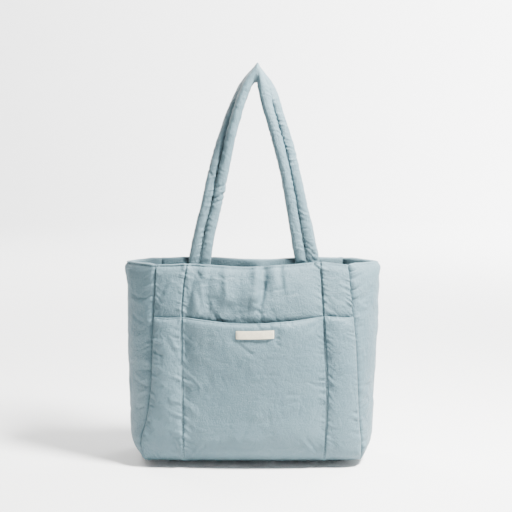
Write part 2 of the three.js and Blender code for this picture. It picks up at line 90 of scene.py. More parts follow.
# How the cloth differs from the frame's plain solids, in millimetres.
EXTRA_BOW = 5.0
TILT_LEFT = 5.6
TILT_MIDDLE = 5.5
TILT_RIGHT = 1.6
HEM_CURVE = 11.0
HIDDEN_PUFF = 2.5
FACE_PUFF = 8.6
MOUTH_FILL = 4.0
MOUTH_ROUND = 0.7
CORNER_TRIM = 0.7
STITCH_ROLL = 8.0
CORNER_ROLL = 7.5
BROAD_ROLL = 28.0
STEEP_SHARE = 0.5
STEEP_POWER = 2.3
ROW_FILL = 2.6
LOW_ROW_FILL = 4.2
ROW_REACH = 4.5
BASE_RISE = 1.0
FOOT_IN = 0.06
FOOT_REACH = 8.0
SETTLE_REACH = 14.0
FRONT_RIM_DROP = 4.6
BACK_RIM_DROP = 3.6
SLANT = 0.6
SLOUCH = 4.6
UNDERCUT = (12.0, 30.0)

# The walls' cells across each channel, and the columns where they are sewn.
SIDE_CELLS = 20
MIDDLE_CELLS = 68
STITCH_COLUMNS = (0, SIDE_CELLS, SIDE_CELLS + MIDDLE_CELLS, 2 * SIDE_CELLS + MIDDLE_CELLS)

# Every how many cells a lining has one, millimetres between a handle's rings, and steps around each lobe.
LINING_STEP = 2
HANDLE_STEP = 2.2
LOBE_STEPS = 11

# Cloth simulation: scale, steps, share of extra cloth, and how firmly each part of it is held.
SIM_SCALE = 10.0
SIM_FRAMES = 22
EXCESS = 0.03
HANDLE_EXCESS = 0.04
LOOSE = 0.05
HANDLE_LOOSE = 0.08
PINNED_RINGS = 9
WALL_TOP_HOLD = 0.7
POCKET_TOP_HOLD = 0.35
GUSSET_TOP_HOLD = 0.6
COVERED_HOLD = 0.6
LABEL_HOLD = 0.8
HANDLE_PEAK_HOLD = 0.6

# Tucks that run out from the seams: height, spacing and reach, in millimetres.
SEAM_WAVES = (1.4, 13.0, 22.0)
FINE_TUCKS = (0.85, 3.6, 7.0)
LONG_TUCKS = (0.58, 6.5, 14.0)
STRAP_TUCKS = (0.75, 4.1, 9.0)
STRAP_EDGE_TUCKS = (0.4, 4.6, 8.0)
BASE_TUCKS = (0.7, 7.0, 12.0)

# Fine creases all over the cloth: size and height in millimetres, and seed.
CREASE_SIZES = ((15.0, 0.42, 3), (7.5, 0.24, 4), (4.2, 0.12, 5))

# Threads, in millimetres. The label's have a pitch, a length and a radius of their own.
THREAD_RADIUS = 0.32
STITCH_LENGTH = 3.0
STITCH_PITCH = 4.2
THREAD_LIFT = 0.15
LABEL_THREAD = (1.9, 1.3, 0.18)
STRAP_MARGIN = 14

# Share of filling in the padded pieces.
WALL_FILL = 0.5
HANDLE_FILL = 0.7

# The key light's turn to the right of the front and its height, in degrees, and its distance in metres.
KEY_TURN = 60.5
KEY_HEIGHT = 57.0
KEY_AWAY = 1.36
KEY_AIM = (0.0, 0.0, 0.2)
KEY_SIZE = 0.32
KEY_POWER = 180.0
WORLD_STRENGTH = 0.1

# The camera's place in metres, its tilt downward in degrees, and its lens and sensor in millimetres.
CAMERA_PLACE = (0.0045, -1.7, 0.499)
CAMERA_TILT = 6.47
CAMERA_LENS = 80.2
CAMERA_SENSOR = 36.0

BODY_COLUMNS = ("level", "seam_left", "seam_right", "fold_left", "fold_right",
                "stitch_left", "stitch_right", "depth", "sharp")
BODY_ROWS = (
    (0.0, 0.83, 0.84, 0.9, 0.885, 0.535, 0.553, 0.97, 2.4),
    (0.06, 0.862, 0.843, 0.952, 0.922, 0.537, 0.555, 1.0, 2.4),
    (0.12, 0.868, 0.84, 0.974, 0.94, 0.537, 0.558, 1.0, 2.3),
    (0.2, 0.832, 0.829, 0.984, 0.953, 0.537, 0.563, 0.985, 2.2),
    (0.35, 0.796, 0.817, 0.991, 0.966, 0.54, 0.571, 0.95, 2.0),
    (0.6, 0.779, 0.8, 1.0, 0.983, 0.547, 0.553, 0.86, 1.7),
    (0.8, 0.766, 0.768, 1.0, 0.994, 0.541, 0.536, 0.78, 1.4),
    (1.0, 0.753, 0.742, 1.0, 1.0, 0.511, 0.52, 0.7, 1.25),
)
RIM_COLUMNS = ("across", "lift")
FRONT_RIM_ROWS = ((-1.0, -0.25), (-0.6, 0.2), (-0.1, -0.8), (0.35, -0.1), (0.7, 0.75), (1.0, -0.25))
BACK_RIM_ROWS = ((-1.0, -0.25), (-0.55, 0.1), (0.1, -1.0), (0.6, -0.1), (1.0, -0.25))
GUSSET_RIM_DIP = 1.1

# Soft upright folds below the rim, as in the frame, with finer ones that only the cloth shows:
# place across at the top and the foot, highest and lowest level, spread and rise.
RIM_FOLDS = (
    (-0.86, -0.9, 0.93, 0.72, 0.25, -0.55),
    (-0.72, -0.78, 0.96, 0.72, 0.35, 0.5),
    (-0.66, -0.52, 0.9, 0.7, 0.4, -0.8),
    (-0.38, -0.4, 1.0, 0.8, 0.5, 0.35),
    (-0.2, -0.24, 0.9, 0.72, 0.55, -0.55),
    (0.03, 0.0, 1.0, 0.78, 0.3, 0.55),
    (0.16, 0.07, 1.0, 0.78, 0.3, -1.0),
    (0.42, 0.42, 1.0, 0.86, 0.35, -0.4),
)

HANDLE_COLUMNS = ("rise", "out_left", "out_right", "turn_left", "turn_right",
                  "girth_left", "girth_right", "plump", "lean")
HANDLE_ROWS = (
    (0.0, 0.99, 1.016, 0, 0, 0.97, 1.06, 0, 0),
    (0.013, 0.988, 1.01, 0, 0, 0.97, 1.06, 0.03, 0),
    (0.04, 0.975, 0.985, 2, 0, 0.97, 1.06, 0.7, 0),
    (0.085, 0.95, 0.95, 6, 0, 0.96, 1.05, 0.97, 0),
    (0.165, 0.898, 0.894, 6, 4, 0.94, 1.04, 1.0, 0),
    (0.27, 0.815, 0.811, 8, 10, 0.93, 0.98, 1.0, 0),
    (0.375, 0.737, 0.732, 10, 18, 0.96, 0.98, 1.0, 0),
    (0.48, 0.664, 0.65, 21, 26, 0.94, 0.97, 1.0, 0),
    (0.58, 0.588, 0.56, 34, 28, 0.95, 0.98, 1.0, 0),
    (0.675, 0.506, 0.46, 50, 32, 0.97, 0.98, 1.0, 0),
    (0.76, 0.425, 0.365, 57, 36, 0.97, 0.97, 1.0, 0),
    (0.84, 0.33, 0.278, 65, 37, 0.96, 0.98, 0.98, 0),
    (0.905, 0.24, 0.203, 71, 45, 0.93, 0.95, 0.95, 0.05),
    (0.955, 0.145, 0.12, 78, 63, 0.89, 0.9, 0.93, 0.25),
    (0.99, 0.045, 0.045, 86, 84, 0.85, 0.85, 0.92, 0.75),
)


def along(rows, columns, place_name, name, place):
    """The value of one column of a table at some places, on a smooth curve through its rows."""
    table = np.array(rows, dtype=float)
    xs = table[:, columns.index(place_name)]
    ys = table[:, columns.index(name)]
    last = len(xs) - 1
    ahead = np.minimum(np.arange(last + 1) + 1, last)
    behind = np.maximum(np.arange(last + 1) - 1, 0)
    slopes = (ys[ahead] - ys[behind]) / (xs[ahead] - xs[behind])
    place = np.asarray(place, dtype=float)
    i = np.clip(np.searchsorted(xs, place, side="right") - 1, 0, last - 1)
    span = xs[i + 1] - xs[i]
    t = np.clip((place - xs[i]) / span, 0.0, 1.0)
    return (ys[i] * (2 * t ** 3 - 3 * t ** 2 + 1) + ys[i + 1] * (3 * t ** 2 - 2 * t ** 3)
            + slopes[i] * span * (t ** 3 - 2 * t ** 2 + t) + slopes[i + 1] * span * (t ** 3 - t ** 2))


def smoothstep(value, low, high):
    t = np.clip((value - low) / (high - low), 0.0, 1.0)
    return t * t * (3 - 2 * t)


def shoulder(distance, roll_width=ROLL):
    short = 1 - np.clip(distance / roll_width, 0.0, 1.0)
    return np.sqrt(np.maximum(0.0, 1 - short * short))


def plump(distance, roll_width=STITCH_ROLL):
    """A shoulder that rises steeply from the seam, then slowly."""
    short = 1 - np.clip(distance / roll_width, 0.0, 1.0)
    broad = 1 - np.clip(distance / BROAD_ROLL, 0.0, 1.0)
    steep = np.maximum(0.0, 1 - short ** STEEP_POWER) ** (1 / STEEP_POWER)
    return lerp(1 - broad * broad, steep, STEEP_SHARE)


def lerp(a, b, t):
    return a + (b - a) * t


def lattice_noise(x, y, seed):
    """Smooth seeded noise from -1 to 1 with one cell per unit."""
    rng = np.random.default_rng(seed)
    size = 256
    values = rng.uniform(-1.0, 1.0, (size, size))
    xi = np.floor(x).astype(int)
    yi = np.floor(y).astype(int)
    fx = x - xi
    fy = y - yi
    fx = fx * fx * fx * (fx * (fx * 6 - 15) + 10)
    fy = fy * fy * fy * (fy * (fy * 6 - 15) + 10)

    def at(dx, dy):
        return values[(xi + dx) % size, (yi + dy) % size]

    low = lerp(at(0, 0), at(1, 0), fx)
    high = lerp(at(0, 1), at(1, 1), fx)
    return lerp(low, high, fy)


def outline_at(level):
    def half(name):
        return along(BODY_ROWS, BODY_COLUMNS, "level", name, level) * (WIDTH / 2)

    out = {name: half(name) for name in BODY_COLUMNS[1:7]}
    out["depth"] = along(BODY_ROWS, BODY_COLUMNS, "level", "depth", level) * (DEPTH / 2)
    out["sharp"] = along(BODY_ROWS, BODY_COLUMNS, "level", "sharp", level)
    return out


def wall_height(level, across, rim_rows):
    rim = HEIGHT + RIM_WAVE * along(rim_rows, RIM_COLUMNS, "across", "lift", across)
    return BASE_LIFT + level * (rim - BASE_LIFT)


def rim_share(level):
    to_rim = (1 - level) * WALL_RISE
    return RIM_PUFF_SHARE + (1 - RIM_PUFF_SHARE) * shoulder(to_rim, RIM_ROLL)


def channel_lines(outline):
    """Where the three channels begin and end across the wall."""
    return np.stack([-outline["seam_left"], -outline["stitch_left"],
                     outline["stitch_right"], outline["seam_right"]])


class Places:
    """Places on the front or back wall: a grid of levels by columns, each column in one channel."""

    def __init__(self, level, channel, share):
        self.level, self.channel, self.share = np.broadcast_arrays(level, channel, share)
        outline = outline_at(self.level)
        lines = channel_lines(outline)
        low = np.take_along_axis(lines, self.channel[None], 0)[0]
        high = np.take_along_axis(lines, self.channel[None] + 1, 0)[0]
        self.x = lerp(low, high, self.share)
        seam = np.where(self.x < 0, outline["seam_left"], outline["seam_right"])
        self.across = self.x / seam
        self.outline = outline
        self.seam_y = outline["depth"] + BOW * (1 - self.across ** 2)
        to_left = self.x - low
        to_right = high - self.x
        self.inset_share = 1 - SEAM_THICKNESS / seam
        left_roll = np.where(self.channel == 0, CORNER_ROLL, STITCH_ROLL)
        right_roll = np.where(self.channel == 2, CORNER_ROLL, STITCH_ROLL)
        self.lane = plump(to_left, left_roll) * plump(to_right, right_roll)
        self.pillow = self.lane * shoulder(self.level * WALL_RISE)
        self.trim = CORNER_TRIM * np.maximum(0, np.abs(self.across) * 8 - 7)
        self.to_seam = np.minimum(to_left, to_right)
        self.hand = np.where(to_left < to_right, 1.0, -1.0)
        self.seam_number = self.channel + np.where(to_left < to_right, 0.0, 1.0)
        to_row = np.select([self.channel == 0, self.channel == 1], [to_right, self.to_seam], to_left)
        fill = lerp(LOW_ROW_FILL, ROW_FILL, smoothstep(self.level, 0.1, 0.75))
        self.row_fill = fill * np.exp(-(to_row / ROW_REACH) ** 2)


def fold_rise(place):
    outline = place.outline
    middle = (outline["stitch_right"] - outline["stitch_left"]) / 2
    half_span = (outline["stitch_right"] + outline["stitch_left"]) / 2
    total = np.zeros_like(place.x)
    for top, foot, high, low, spread, rise in RIM_FOLDS:
        reach = np.clip((place.level - low) / (high - low), 0, 1)
        x = middle + half_span * lerp(foot, top, reach)
        away = (place.x - x) / (spread * ROLL)
        fade_below = smoothstep(place.level, low - 0.06, low + 0.04)
        fade_above = 1 - smoothstep(place.level, high - 0.02, high + 0.12)
        total += rise * np.exp(-away * away) * fade_below * fade_above
    return np.where(place.channel == 1, total * FOLD_DEPTH * place.pillow, 0.0)


def mouth_opening(place):
    """How open the pocket is, from 0 to 1: most at its edge and in the middle of a channel."""
    opened = smoothstep(place.level * HEIGHT, POCKET_CLOSE_HEIGHT, POCKET_HEIGHT)
    return opened * np.abs(np.sin(np.pi * place.share)) ** MOUTH_ROUND


def front_rise(place):
    edge_level = POCKET_HEIGHT / HEIGHT
    free = smoothstep(place.level, edge_level - 0.04, edge_level + 0.15)
    puff = lerp(COVERED_PUFF, WALL_PUFF, free)
    return puff * place.pillow * rim_share(place.level) + free * fold_rise(place)


def front_face_rise(place):
    """The front wall as it is seen: it curves in behind the pocket's top edge."""
    over_hem = (place.level - pocket_edge(place.channel, place.share)) * WALL_RISE
    free = 1 - np.exp(-np.maximum(over_hem, 0) / HEM_CURVE)
    puff = lerp(HIDDEN_PUFF, FACE_PUFF, free)
    folds = smoothstep(over_hem, -6, 14) * fold_rise(place)
    fill = np.where(place.channel == 1, MOUTH_FILL * mouth_opening(place) * (1 - free), 0.0)
    return puff * place.pillow * rim_share(place.level) + folds + fill


def back_rise(place):
    return WALL_PUFF * place.pillow * rim_share(place.level)


def lining_rise(place):
    return SEAM_THICKNESS + LINING_PUFF * place.pillow * rim_share(place.level)


def channel_tilt(place):
    """How much less the front's channels stand out toward the left, and the last toward the right."""
    left = TILT_LEFT * (1 - place.share)
    middle = TILT_MIDDLE * np.maximum(0, 1 - 2 * place.share) ** 2
    right = TILT_RIGHT * place.share
    return np.select([place.channel == 0, place.channel == 1], [left, middle], right) * place.pillow


def wall_points(place, side, rise, rim_rows):
    """Points that stand rise out from the seams of the front (side -1) or the back (side 1)."""
    x = place.x - np.sign(place.across) * place.trim
    bow = EXTRA_BOW * (1 - np.abs(place.across) ** 3)
    bow = bow * smoothstep(place.level, 0.0, 0.15) * (1 - smoothstep(place.level, 0.72, 0.97))
    if side < 0:
        bow = bow - channel_tilt(place)
    y = side * (place.seam_y + rise + bow + place.row_fill)
    return np.stack([x, y, wall_height(place.level, place.across, rim_rows)], -1)


def lining_points(place, side, rim_rows):
    x = place.x * place.inset_share - np.sign(place.across) * place.trim
    y = side * (place.seam_y - lining_rise(place))
    z = wall_height(place.level, place.across, rim_rows) + SEAM_THICKNESS * (1 - place.level)
    return np.stack([x, y, z], -1)


def crowded(count, amount):
    """Places from 0 to 1, by amount (0 to 1) closer together at both ends."""
    even = np.linspace(0.0, 1.0, count + 1)
    return lerp(even, (1 - np.cos(np.pi * even)) / 2, amount)


def wall_columns():
    channel = []
    share = []
    for number, cells in enumerate((SIDE_CELLS, MIDDLE_CELLS, SIDE_CELLS)):
        places = crowded(cells, 0.5)
        start = 0 if number == 0 else 1
        channel += [number] * (cells + 1 - start)
        share += list(places[start:])
    return np.array(channel)[None, :], np.array(share)[None, :]


# How much fuller than the frame each side's fold is, by height.
LEFT_FULLER = ((0, 0), (33, 0.4), (54, -1.8), (74, -2.4), (95, -1.7), (116, 0), (137, -0.5),
               (158, 1), (178, 0.7), (199, 0.8), (220, 1.7), (241, 2), (262, 1.8), (283, 2.6),
               (300, 2.6))
RIGHT_FULLER = ((0, -1), (14, -1.2), (33, 1.5), (54, -0.4), (74, -1.5), (95, -2.5), (116, -1.2),
                (137, 1.2), (158, 1.8), (178, 2.2), (199, 4.0), (220, 3.8), (241, 3), (262, 3.6),
                (283, 3.2), (300, 3))


def gusset_points(side, level, across, lining=False):
    outline = outline_at(level)
    name = "left" if side < 0 else "right"
    seam = outline["seam_" + name]
    fold = outline["fold_" + name] - SIDE_PUFF
    to_seam = (1 - np.abs(across)) * GUSSET_WIDTH / 2
    padding = plump(to_seam, CORNER_ROLL) * shoulder(level * WALL_RISE) * rim_share(level)
    cloth = seam + (fold - seam) * (1 - np.abs(across) ** outline["sharp"])
    rim_dip = GUSSET_RIM_DIP * (1 - across * across) - 0.25 * across * across
    rim = HEIGHT - RIM_WAVE * np.maximum(rim_dip, 0.25)
    z = BASE_LIFT + level * (rim - BASE_LIFT)
    if not lining:
        rows = np.array(LEFT_FULLER if side < 0 else RIGHT_FULLER)
        fuller = np.interp(z, rows[:, 0], rows[:, 1]) * (1 - across * across)
        y = across * (outline["depth"] - GAP)
        return np.stack([side * (cloth + SIDE_PUFF * padding + fuller), y, z], -1)
    y = across * (outline["depth"] - SEAM_THICKNESS - GAP)
    x = side * (cloth - SEAM_THICKNESS - LINING_PUFF * padding)
    return np.stack([x, y, z + SEAM_THICKNESS * (1 - level)], -1)


def pocket_edge(channel, share):
    sag = np.where(channel == 1, POCKET_SAG * np.sin(np.pi * share), 0.0)
    return (POCKET_HEIGHT - sag - BASE_LIFT) / WALL_RISE


def pocket_rises(place):
    """How far the pocket's inner and outer faces stand out from the seams."""
    to_foot = (place.level - POCKET_FOOT) * WALL_RISE
    to_edge = (pocket_edge(place.channel, place.share) - place.level) * WALL_RISE
    edge = RIM_PUFF_SHARE + (1 - RIM_PUFF_SHARE) * shoulder(to_edge, RIM_ROLL)
    mouth = np.where(place.channel == 1, POCKET_MOUTH, SIDE_POCKET_MOUTH)
    inner = front_rise(place) + GAP + mouth * mouth_opening(place)
    padding = POCKET_PUFF * place.lane * shoulder(to_foot) * edge
    return inner, inner + POCKET_THICKNESS + padding


def grid_normals(points, closed=False):
    """Unit normals of a grid of points, out of the face whose rows go up and columns go right."""
    if closed:
        right = np.roll(points, -1, 1) - np.roll(points, 1, 1)
    else:
        right = np.gradient(points, axis=1)
    up = np.gradient(points, axis=0)
    normal = np.cross(right, up)
    return normal / np.maximum(np.linalg.norm(normal, axis=2, keepdims=True), 1e-9)


def finer(grid, closed=False):
    """The grid with a point added between each two, on a smooth curve, both ways."""
    def halve(points, wrap):
        if wrap:
            ends = points[-1:], points[:2]
        else:
            ends = 2 * points[:1] - points[1:2], 2 * points[-1:] - points[-2:-1]
        padded = np.concatenate([ends[0], points, ends[1]])
        middle = (9 * (padded[1:-2] + padded[2:-1]) - padded[:-3] - padded[3:]) / 16
        out = np.empty((len(points) + len(middle),) + points.shape[1:])
        out[0::2] = points
        out[1::2] = middle
        return out

    grid = halve(grid, False)
    grid = np.swapaxes(grid, 0, 1)
    grid = halve(grid, closed)
    return np.swapaxes(grid, 0, 1)


def grid_quads(rows, columns, closed=False):
    r = np.arange(rows - 1)[:, None]
    c = np.arange(columns if closed else columns - 1)[None, :]
    nxt = (c + 1) % columns
    here = r * columns
    above = here + columns
    return np.stack([here + c, here + nxt, above + nxt, above + c], -1).reshape(-1, 4)


def cloth_distances(points):
    """Distances along the cloth from the first column and the first row, for each point of a grid."""
    step_u = np.linalg.norm(np.diff(points, axis=1), axis=2)
    step_v = np.linalg.norm(np.diff(points, axis=0), axis=2)
    u = np.concatenate([np.zeros((points.shape[0], 1)), np.cumsum(step_u, 1)], 1)
    v = np.concatenate([np.zeros((1, points.shape[1])), np.cumsum(step_v, 0)], 0)
    return u, v


# Cloth simulation. The quilted skins are relaxed as cloth that is a little too large for its seams.
CLOTH = {
    "quality": 6,
    "mass": 0.3,
    "air_damping": 3.0,
    "bending_model": "ANGULAR",
    "tension_stiffness": 20.0,
    "compression_stiffness": 20.0,
    "shear_stiffness": 6.0,
    "bending_stiffness": 0.3,
    "tension_damping": 6.0,
    "compression_damping": 6.0,
    "shear_damping": 6.0,
    "bending_damping": 1.0,
    "vertex_group_mass": "pin",
    "pin_stiffness": 1.0,
    "use_pressure": True,
}
sim_jobs = []


def add_job(name, points, pin, excess, waves=None, closed=False, pressure=1.5):
    """Queues a grid of points (millimetres) to be relaxed as cloth."""
    sim_jobs.append({"name": name, "points": points, "pin": pin, "excess": excess, "waves": waves,
                     "closed": closed, "pressure": pressure})


def make_sim_object(job):
    points = job["points"] * MM * SIM_SCALE
    rows, columns = points.shape[:2]
    quads = grid_quads(rows, columns, job["closed"])
    mesh = bpy.data.meshes.new("sim_" + job["name"])
    mesh.from_pydata(points.reshape(-1, 3).tolist(), [], quads.tolist())
    mesh.update()
    thing = bpy.data.objects.new("sim_" + job["name"], mesh)
    bpy.context.scene.collection.objects.link(thing)
    group = thing.vertex_groups.new(name="pin")
    weights = np.clip(job["pin"], 0.0, 1.0).reshape(-1)
    levels = np.round(weights, 3)
    for value in np.unique(levels):
        group.add(np.nonzero(levels == value)[0].tolist(), float(value), "REPLACE")
    rest = points.copy()
    if job["waves"] is not None:
        rest = rest + grid_normals(points, job["closed"]) * (job["waves"] * MM * SIM_SCALE)[..., None]
    centre = rest.reshape(-1, 3).mean(0)
    rest = centre + (rest - centre) * (1 + job["excess"])
    thing.shape_key_add(name="Basis")
    key = thing.shape_key_add(name="Rest")
    key.data.foreach_set("co", rest.reshape(-1).astype(np.float32))
    key.value = 0.0
    modifier = thing.modifiers.new("Cloth", "CLOTH")
    settings = modifier.settings
    for name, value in CLOTH.items():
        setattr(settings, name, value)
    settings.uniform_pressure_force = job["pressure"]
    settings.effector_weights.gravity = 0.0
    settings.rest_shape_key = key
    modifier.collision_settings.use_collision = False
    modifier.collision_settings.use_self_collision = False
    modifier.point_cache.frame_start = 1
    modifier.point_cache.frame_end = SIM_FRAMES
    return thing


def run_jobs():
    """Relaxes every queued skin side by side, and returns its points by name."""
    scene = bpy.context.scene
    things = [make_sim_object(job) for job in sim_jobs]
    for number in range(1, SIM_FRAMES + 1):
        scene.frame_set(number)
    depsgraph = bpy.context.evaluated_depsgraph_get()
    results = {}
    for job, thing in zip(sim_jobs, things):
        mesh = thing.evaluated_get(depsgraph).data
        flat = np.empty(len(mesh.vertices) * 3, dtype=np.float32)
        mesh.vertices.foreach_get("co", flat)
        results[job["name"]] = flat.reshape(job["points"].shape).astype(float) / (MM * SIM_SCALE)
    for thing in things:
        mesh = thing.data
        bpy.data.objects.remove(thing)
        bpy.data.meshes.remove(mesh)
    scene.frame_set(1)
    return results


def capped(start, moved, most):
    """The moved points, drawn back so that none is further than most from its start."""
    shift = moved - start
    length = np.maximum(np.linalg.norm(shift, axis=-1), 1e-9)
    most = np.maximum(np.asarray(most, dtype=float), 1e-6)
    scale = np.tanh(length / most) * most / length
    return start + shift * scale[..., None]


def link_mesh(name, points, faces, uv=None):
    """A smooth mesh object from points in millimetres."""
    mesh = bpy.data.meshes.new(name)
    mesh.from_pydata((np.asarray(points) * MM).tolist(), [], faces)
    mesh.update()
    mesh.polygons.foreach_set("use_smooth", [True] * len(mesh.polygons))
    if uv is not None:
        layer = mesh.uv_layers.new(name="cloth")
        index = np.empty(len(mesh.loops), dtype=np.int32)
        mesh.loops.foreach_get("vertex_index", index)
        layer.data.foreach_set("uv", (np.asarray(uv) * MM)[index].astype(np.float32).reshape(-1))
    thing = bpy.data.objects.new(name, mesh)
    bpy.context.scene.collection.objects.link(thing)
    return thing


def strip(outer, inner, flip):
    """Triangles between two rows of vertex numbers of any two lengths that start and end together."""
    faces = []
    outer, inner = outer.tolist(), inner.tolist()
    ratio = (len(inner) - 1) / (len(outer) - 1)

    def add(a, b, c):
        faces.append((a, c, b) if flip else (a, b, c))

    for i in range(len(outer) - 1):
        j = int(i * ratio + 0.5)
        k = int((i + 1) * ratio + 0.5)
        add(outer[i], outer[i + 1], inner[j])
        for step in range(j, k):
            add(outer[i + 1], inner[step + 1], inner[step])
    return faces


def padded_wall(name, outer, inner):
    """A closed piece between an outer and an inner grid, which may have different counts."""
    rows, columns = outer.shape[:2]
    low_rows, low_columns = inner.shape[:2]
    start = rows * columns
    faces = grid_quads(rows, columns).tolist()
    faces += (grid_quads(low_rows, low_columns)[:, ::-1] + start).tolist()
    front = np.arange(start).reshape(rows, columns)
    back = np.arange(low_rows * low_columns).reshape(low_rows, low_columns) + start
    faces += strip(front[-1], back[-1], False)
    faces += strip(front[0], back[0], True)
    faces += strip(front[:, 0], back[:, 0], False)
    faces += strip(front[:, -1], back[:, -1], True)
    uv = [np.stack(cloth_distances(grid), -1).reshape(-1, 2) for grid in (outer, inner)]
    points = np.concatenate([outer.reshape(-1, 3), inner.reshape(-1, 3)])
    return link_mesh(name, points, faces, np.concatenate(uv))


# The rim's edge: each row's lift, its step inward where the edge is bound (in millimetres), and its
# step inward where it is only folded (a share of the wall's thickness). Then share and lift over the
# top, and the places across between which the edge goes from bound to folded.
RIM_STEPS = ((0.3, 0.6, 0.02), (0.8, 0.7, 0.06), (1.4, 0.1, 0.11), (2.1, 0.0, 0.16), (2.9, 0.5, 0.2))
OVER = ((0.25, 3.5), (0.45, 3.7), (0.65, 3.6), (0.85, 2.9), (0.97, 1.6))
BOUND_ENDS = (-88, -48)
LEAST_BOUND = 0.15


def rolled_edge(outer, inner_top, height=1.0):
    """The outer grid with rows added over its top edge: a seam, a bound edge, then the inner face."""
    source = np.linspace(0, 1, inner_top.shape[0])
    target = np.linspace(0, 1, outer.shape[1])
    far = np.stack([np.interp(target, source, inner_top[:, k]) for k in range(3)], -1)
    across = far - outer[-1]
    across[:, 2] = 0
    wide = np.linalg.norm(across, axis=-1, keepdims=True)
    inward = across / wide
    added = []
    bound = 1 - (1 - LEAST_BOUND) * smoothstep(outer[-1][:, :1], *BOUND_ENDS)
    for lift, inset, folded in RIM_STEPS:
        step = inward * lerp(folded * wide, inset, bound)
        added.append(outer[-1] + step + np.array([0, 0, lift * height]))
    for share, lift in OVER:
        row = lerp(outer[-1], far, share)
        row[:, 2] = lerp(outer[-1][:, 2], far[:, 2], share) + lift * height
        added.append(row)
    return np.concatenate([outer, np.array(added)])


def billow(x, y, seed):
    """Rounded puffs from -0.5 to 1 with sharp creases between them."""
    return np.abs(lattice_noise(x, y, seed)) * 2.4 - 0.5


def crumple(u, v, seed):
    """Height in millimetres of the cloth's fine creases at distances u and v along it."""
    warp_u = lattice_noise(u / 22, v / 22, seed + 1) * 9
    warp_v = lattice_noise(u / 22, v / 22, seed + 2) * 9
    total = 0.0
    for size, height, number in CREASE_SIZES:
        total = total + height * billow((u + warp_u) / size, (v + warp_v) / (size * 1.3), seed + number)
    return total


def puckers(place_along, distance, seed, height, spacing, reach, slant=0.0):
    """Height of the tucks that run out from a row of stitches, at a distance from it."""
    distance = np.maximum(distance, 0.0)
    long = reach * (1 + 0.6 * lattice_noise(place_along / 11, distance * 0, seed + 1))
    lean = lattice_noise(place_along / 35, distance / 60, seed + 2) * 0.6 + slant
    shape = billow((place_along + lean * distance) / spacing, distance / 45, seed)
    fade = np.exp(-(distance / long) ** 1.5) * smoothstep(distance, 0.0, 1.8)
    return height * shape * fade


def dents(u, v, seed, height, size=70.0):
    return height * lattice_noise(u / size + 7.3, v / size + 3.1, seed)


# The walls' grids before they are relaxed.
channel_row, share_row = wall_columns()
front_levels = np.concatenate([np.linspace(0, 0.62, 17), np.linspace(0.62, 1, 41)[1:]])[:, None]
back_levels = np.linspace(0, 1, 97)[:, None]
pocket_steps = np.linspace(0, 1, 69)[:, None]
gusset_across = np.linspace(-1, 1, 41)[None, :]

front = Places(front_levels, channel_row, share_row)
back = Places(back_levels, channel_row[:, ::-1], share_row[:, ::-1])
pocket_levels = lerp(POCKET_FOOT, pocket_edge(channel_row, share_row), pocket_steps)
pocket = Places(pocket_levels, channel_row, share_row)
pocket_inner_rise, pocket_outer_rise = pocket_rises(pocket)

front_start = wall_points(front, -1, front_face_rise(front), FRONT_RIM_ROWS)
back_start = wall_points(back, 1, back_rise(back), BACK_RIM_ROWS)
pocket_start = wall_points(pocket, -1, pocket_outer_rise, FRONT_RIM_ROWS)
pocket_inner = wall_points(pocket, -1, pocket_inner_rise, FRONT_RIM_ROWS)
gusset_starts = [gusset_points(side, back_levels, side * gusset_across) for side in (-1, 1)]

# The side walls: name, side, and the seeds of their waves, their creases and their lining.
GUSSETS = (("left", -1, 41, 401, 821), ("right", 1, 51, 501, 831))


def pins(shape, held, top):
    """How firmly each point of a wall is held: fully at its foot and held columns, in part at its top."""
    pin = np.full(shape, LOOSE)
    pin[:, list(held)] = 1.0
    pin[0] = 1.0
    pin[-1] = np.maximum(pin[-1], top)
    return pin


def cloth_waves(v, to_seam, seed):
    """Extra cloth along the rows of stitches, given to the simulation as waves of the cut cloth."""
    return puckers(v, to_seam, seed, *SEAM_WAVES)


def seam_waves(place, seed):
    _, v = cloth_distances(np.stack([place.x, place.seam_y, place.level * HEIGHT], -1))
    return cloth_waves(v, place.to_seam, seed)


label_x = (pocket.x - LABEL_SHIFT) / (LABEL_WIDTH / 2 + 3)
label_z = (pocket_start[..., 2] - LABEL_MIDDLE) / (LABEL_HEIGHT / 2 + 2.5)
under_label = 1 - smoothstep(np.maximum(np.abs(label_x), np.abs(label_z)), 0.9, 1.25)

front_pin = pins(front.x.shape, STITCH_COLUMNS, WALL_TOP_HOLD)
front_pin = np.maximum(front_pin, COVERED_HOLD * (1 - smoothstep(front.level, 0.66, 0.74)))
back_pin = pins(back.x.shape, STITCH_COLUMNS, WALL_TOP_HOLD)
pocket_pin = pins(pocket.x.shape, STITCH_COLUMNS, POCKET_TOP_HOLD)
pocket_pin = np.maximum(pocket_pin, LABEL_HOLD * under_label)
gusset_pin = pins(gusset_starts[0].shape[:2], (0, -1), GUSSET_TOP_HOLD)

add_job("front", front_start, front_pin, EXCESS, seam_waves(front, 11))
add_job("back", back_start, back_pin, EXCESS, seam_waves(back, 21))
add_job("pocket", pocket_start, pocket_pin, EXCESS, seam_waves(pocket, 31))
_, gusset_v = cloth_distances(gusset_starts[0])
gusset_seam = (1 - np.abs(gusset_across)) * GUSSET_WIDTH / 2 + gusset_v * 0
for (name, _, seed, _, _), start in zip(GUSSETS, gusset_starts):
    add_job(name, start, gusset_pin, EXCESS, cloth_waves(gusset_v, gusset_seam, seed))


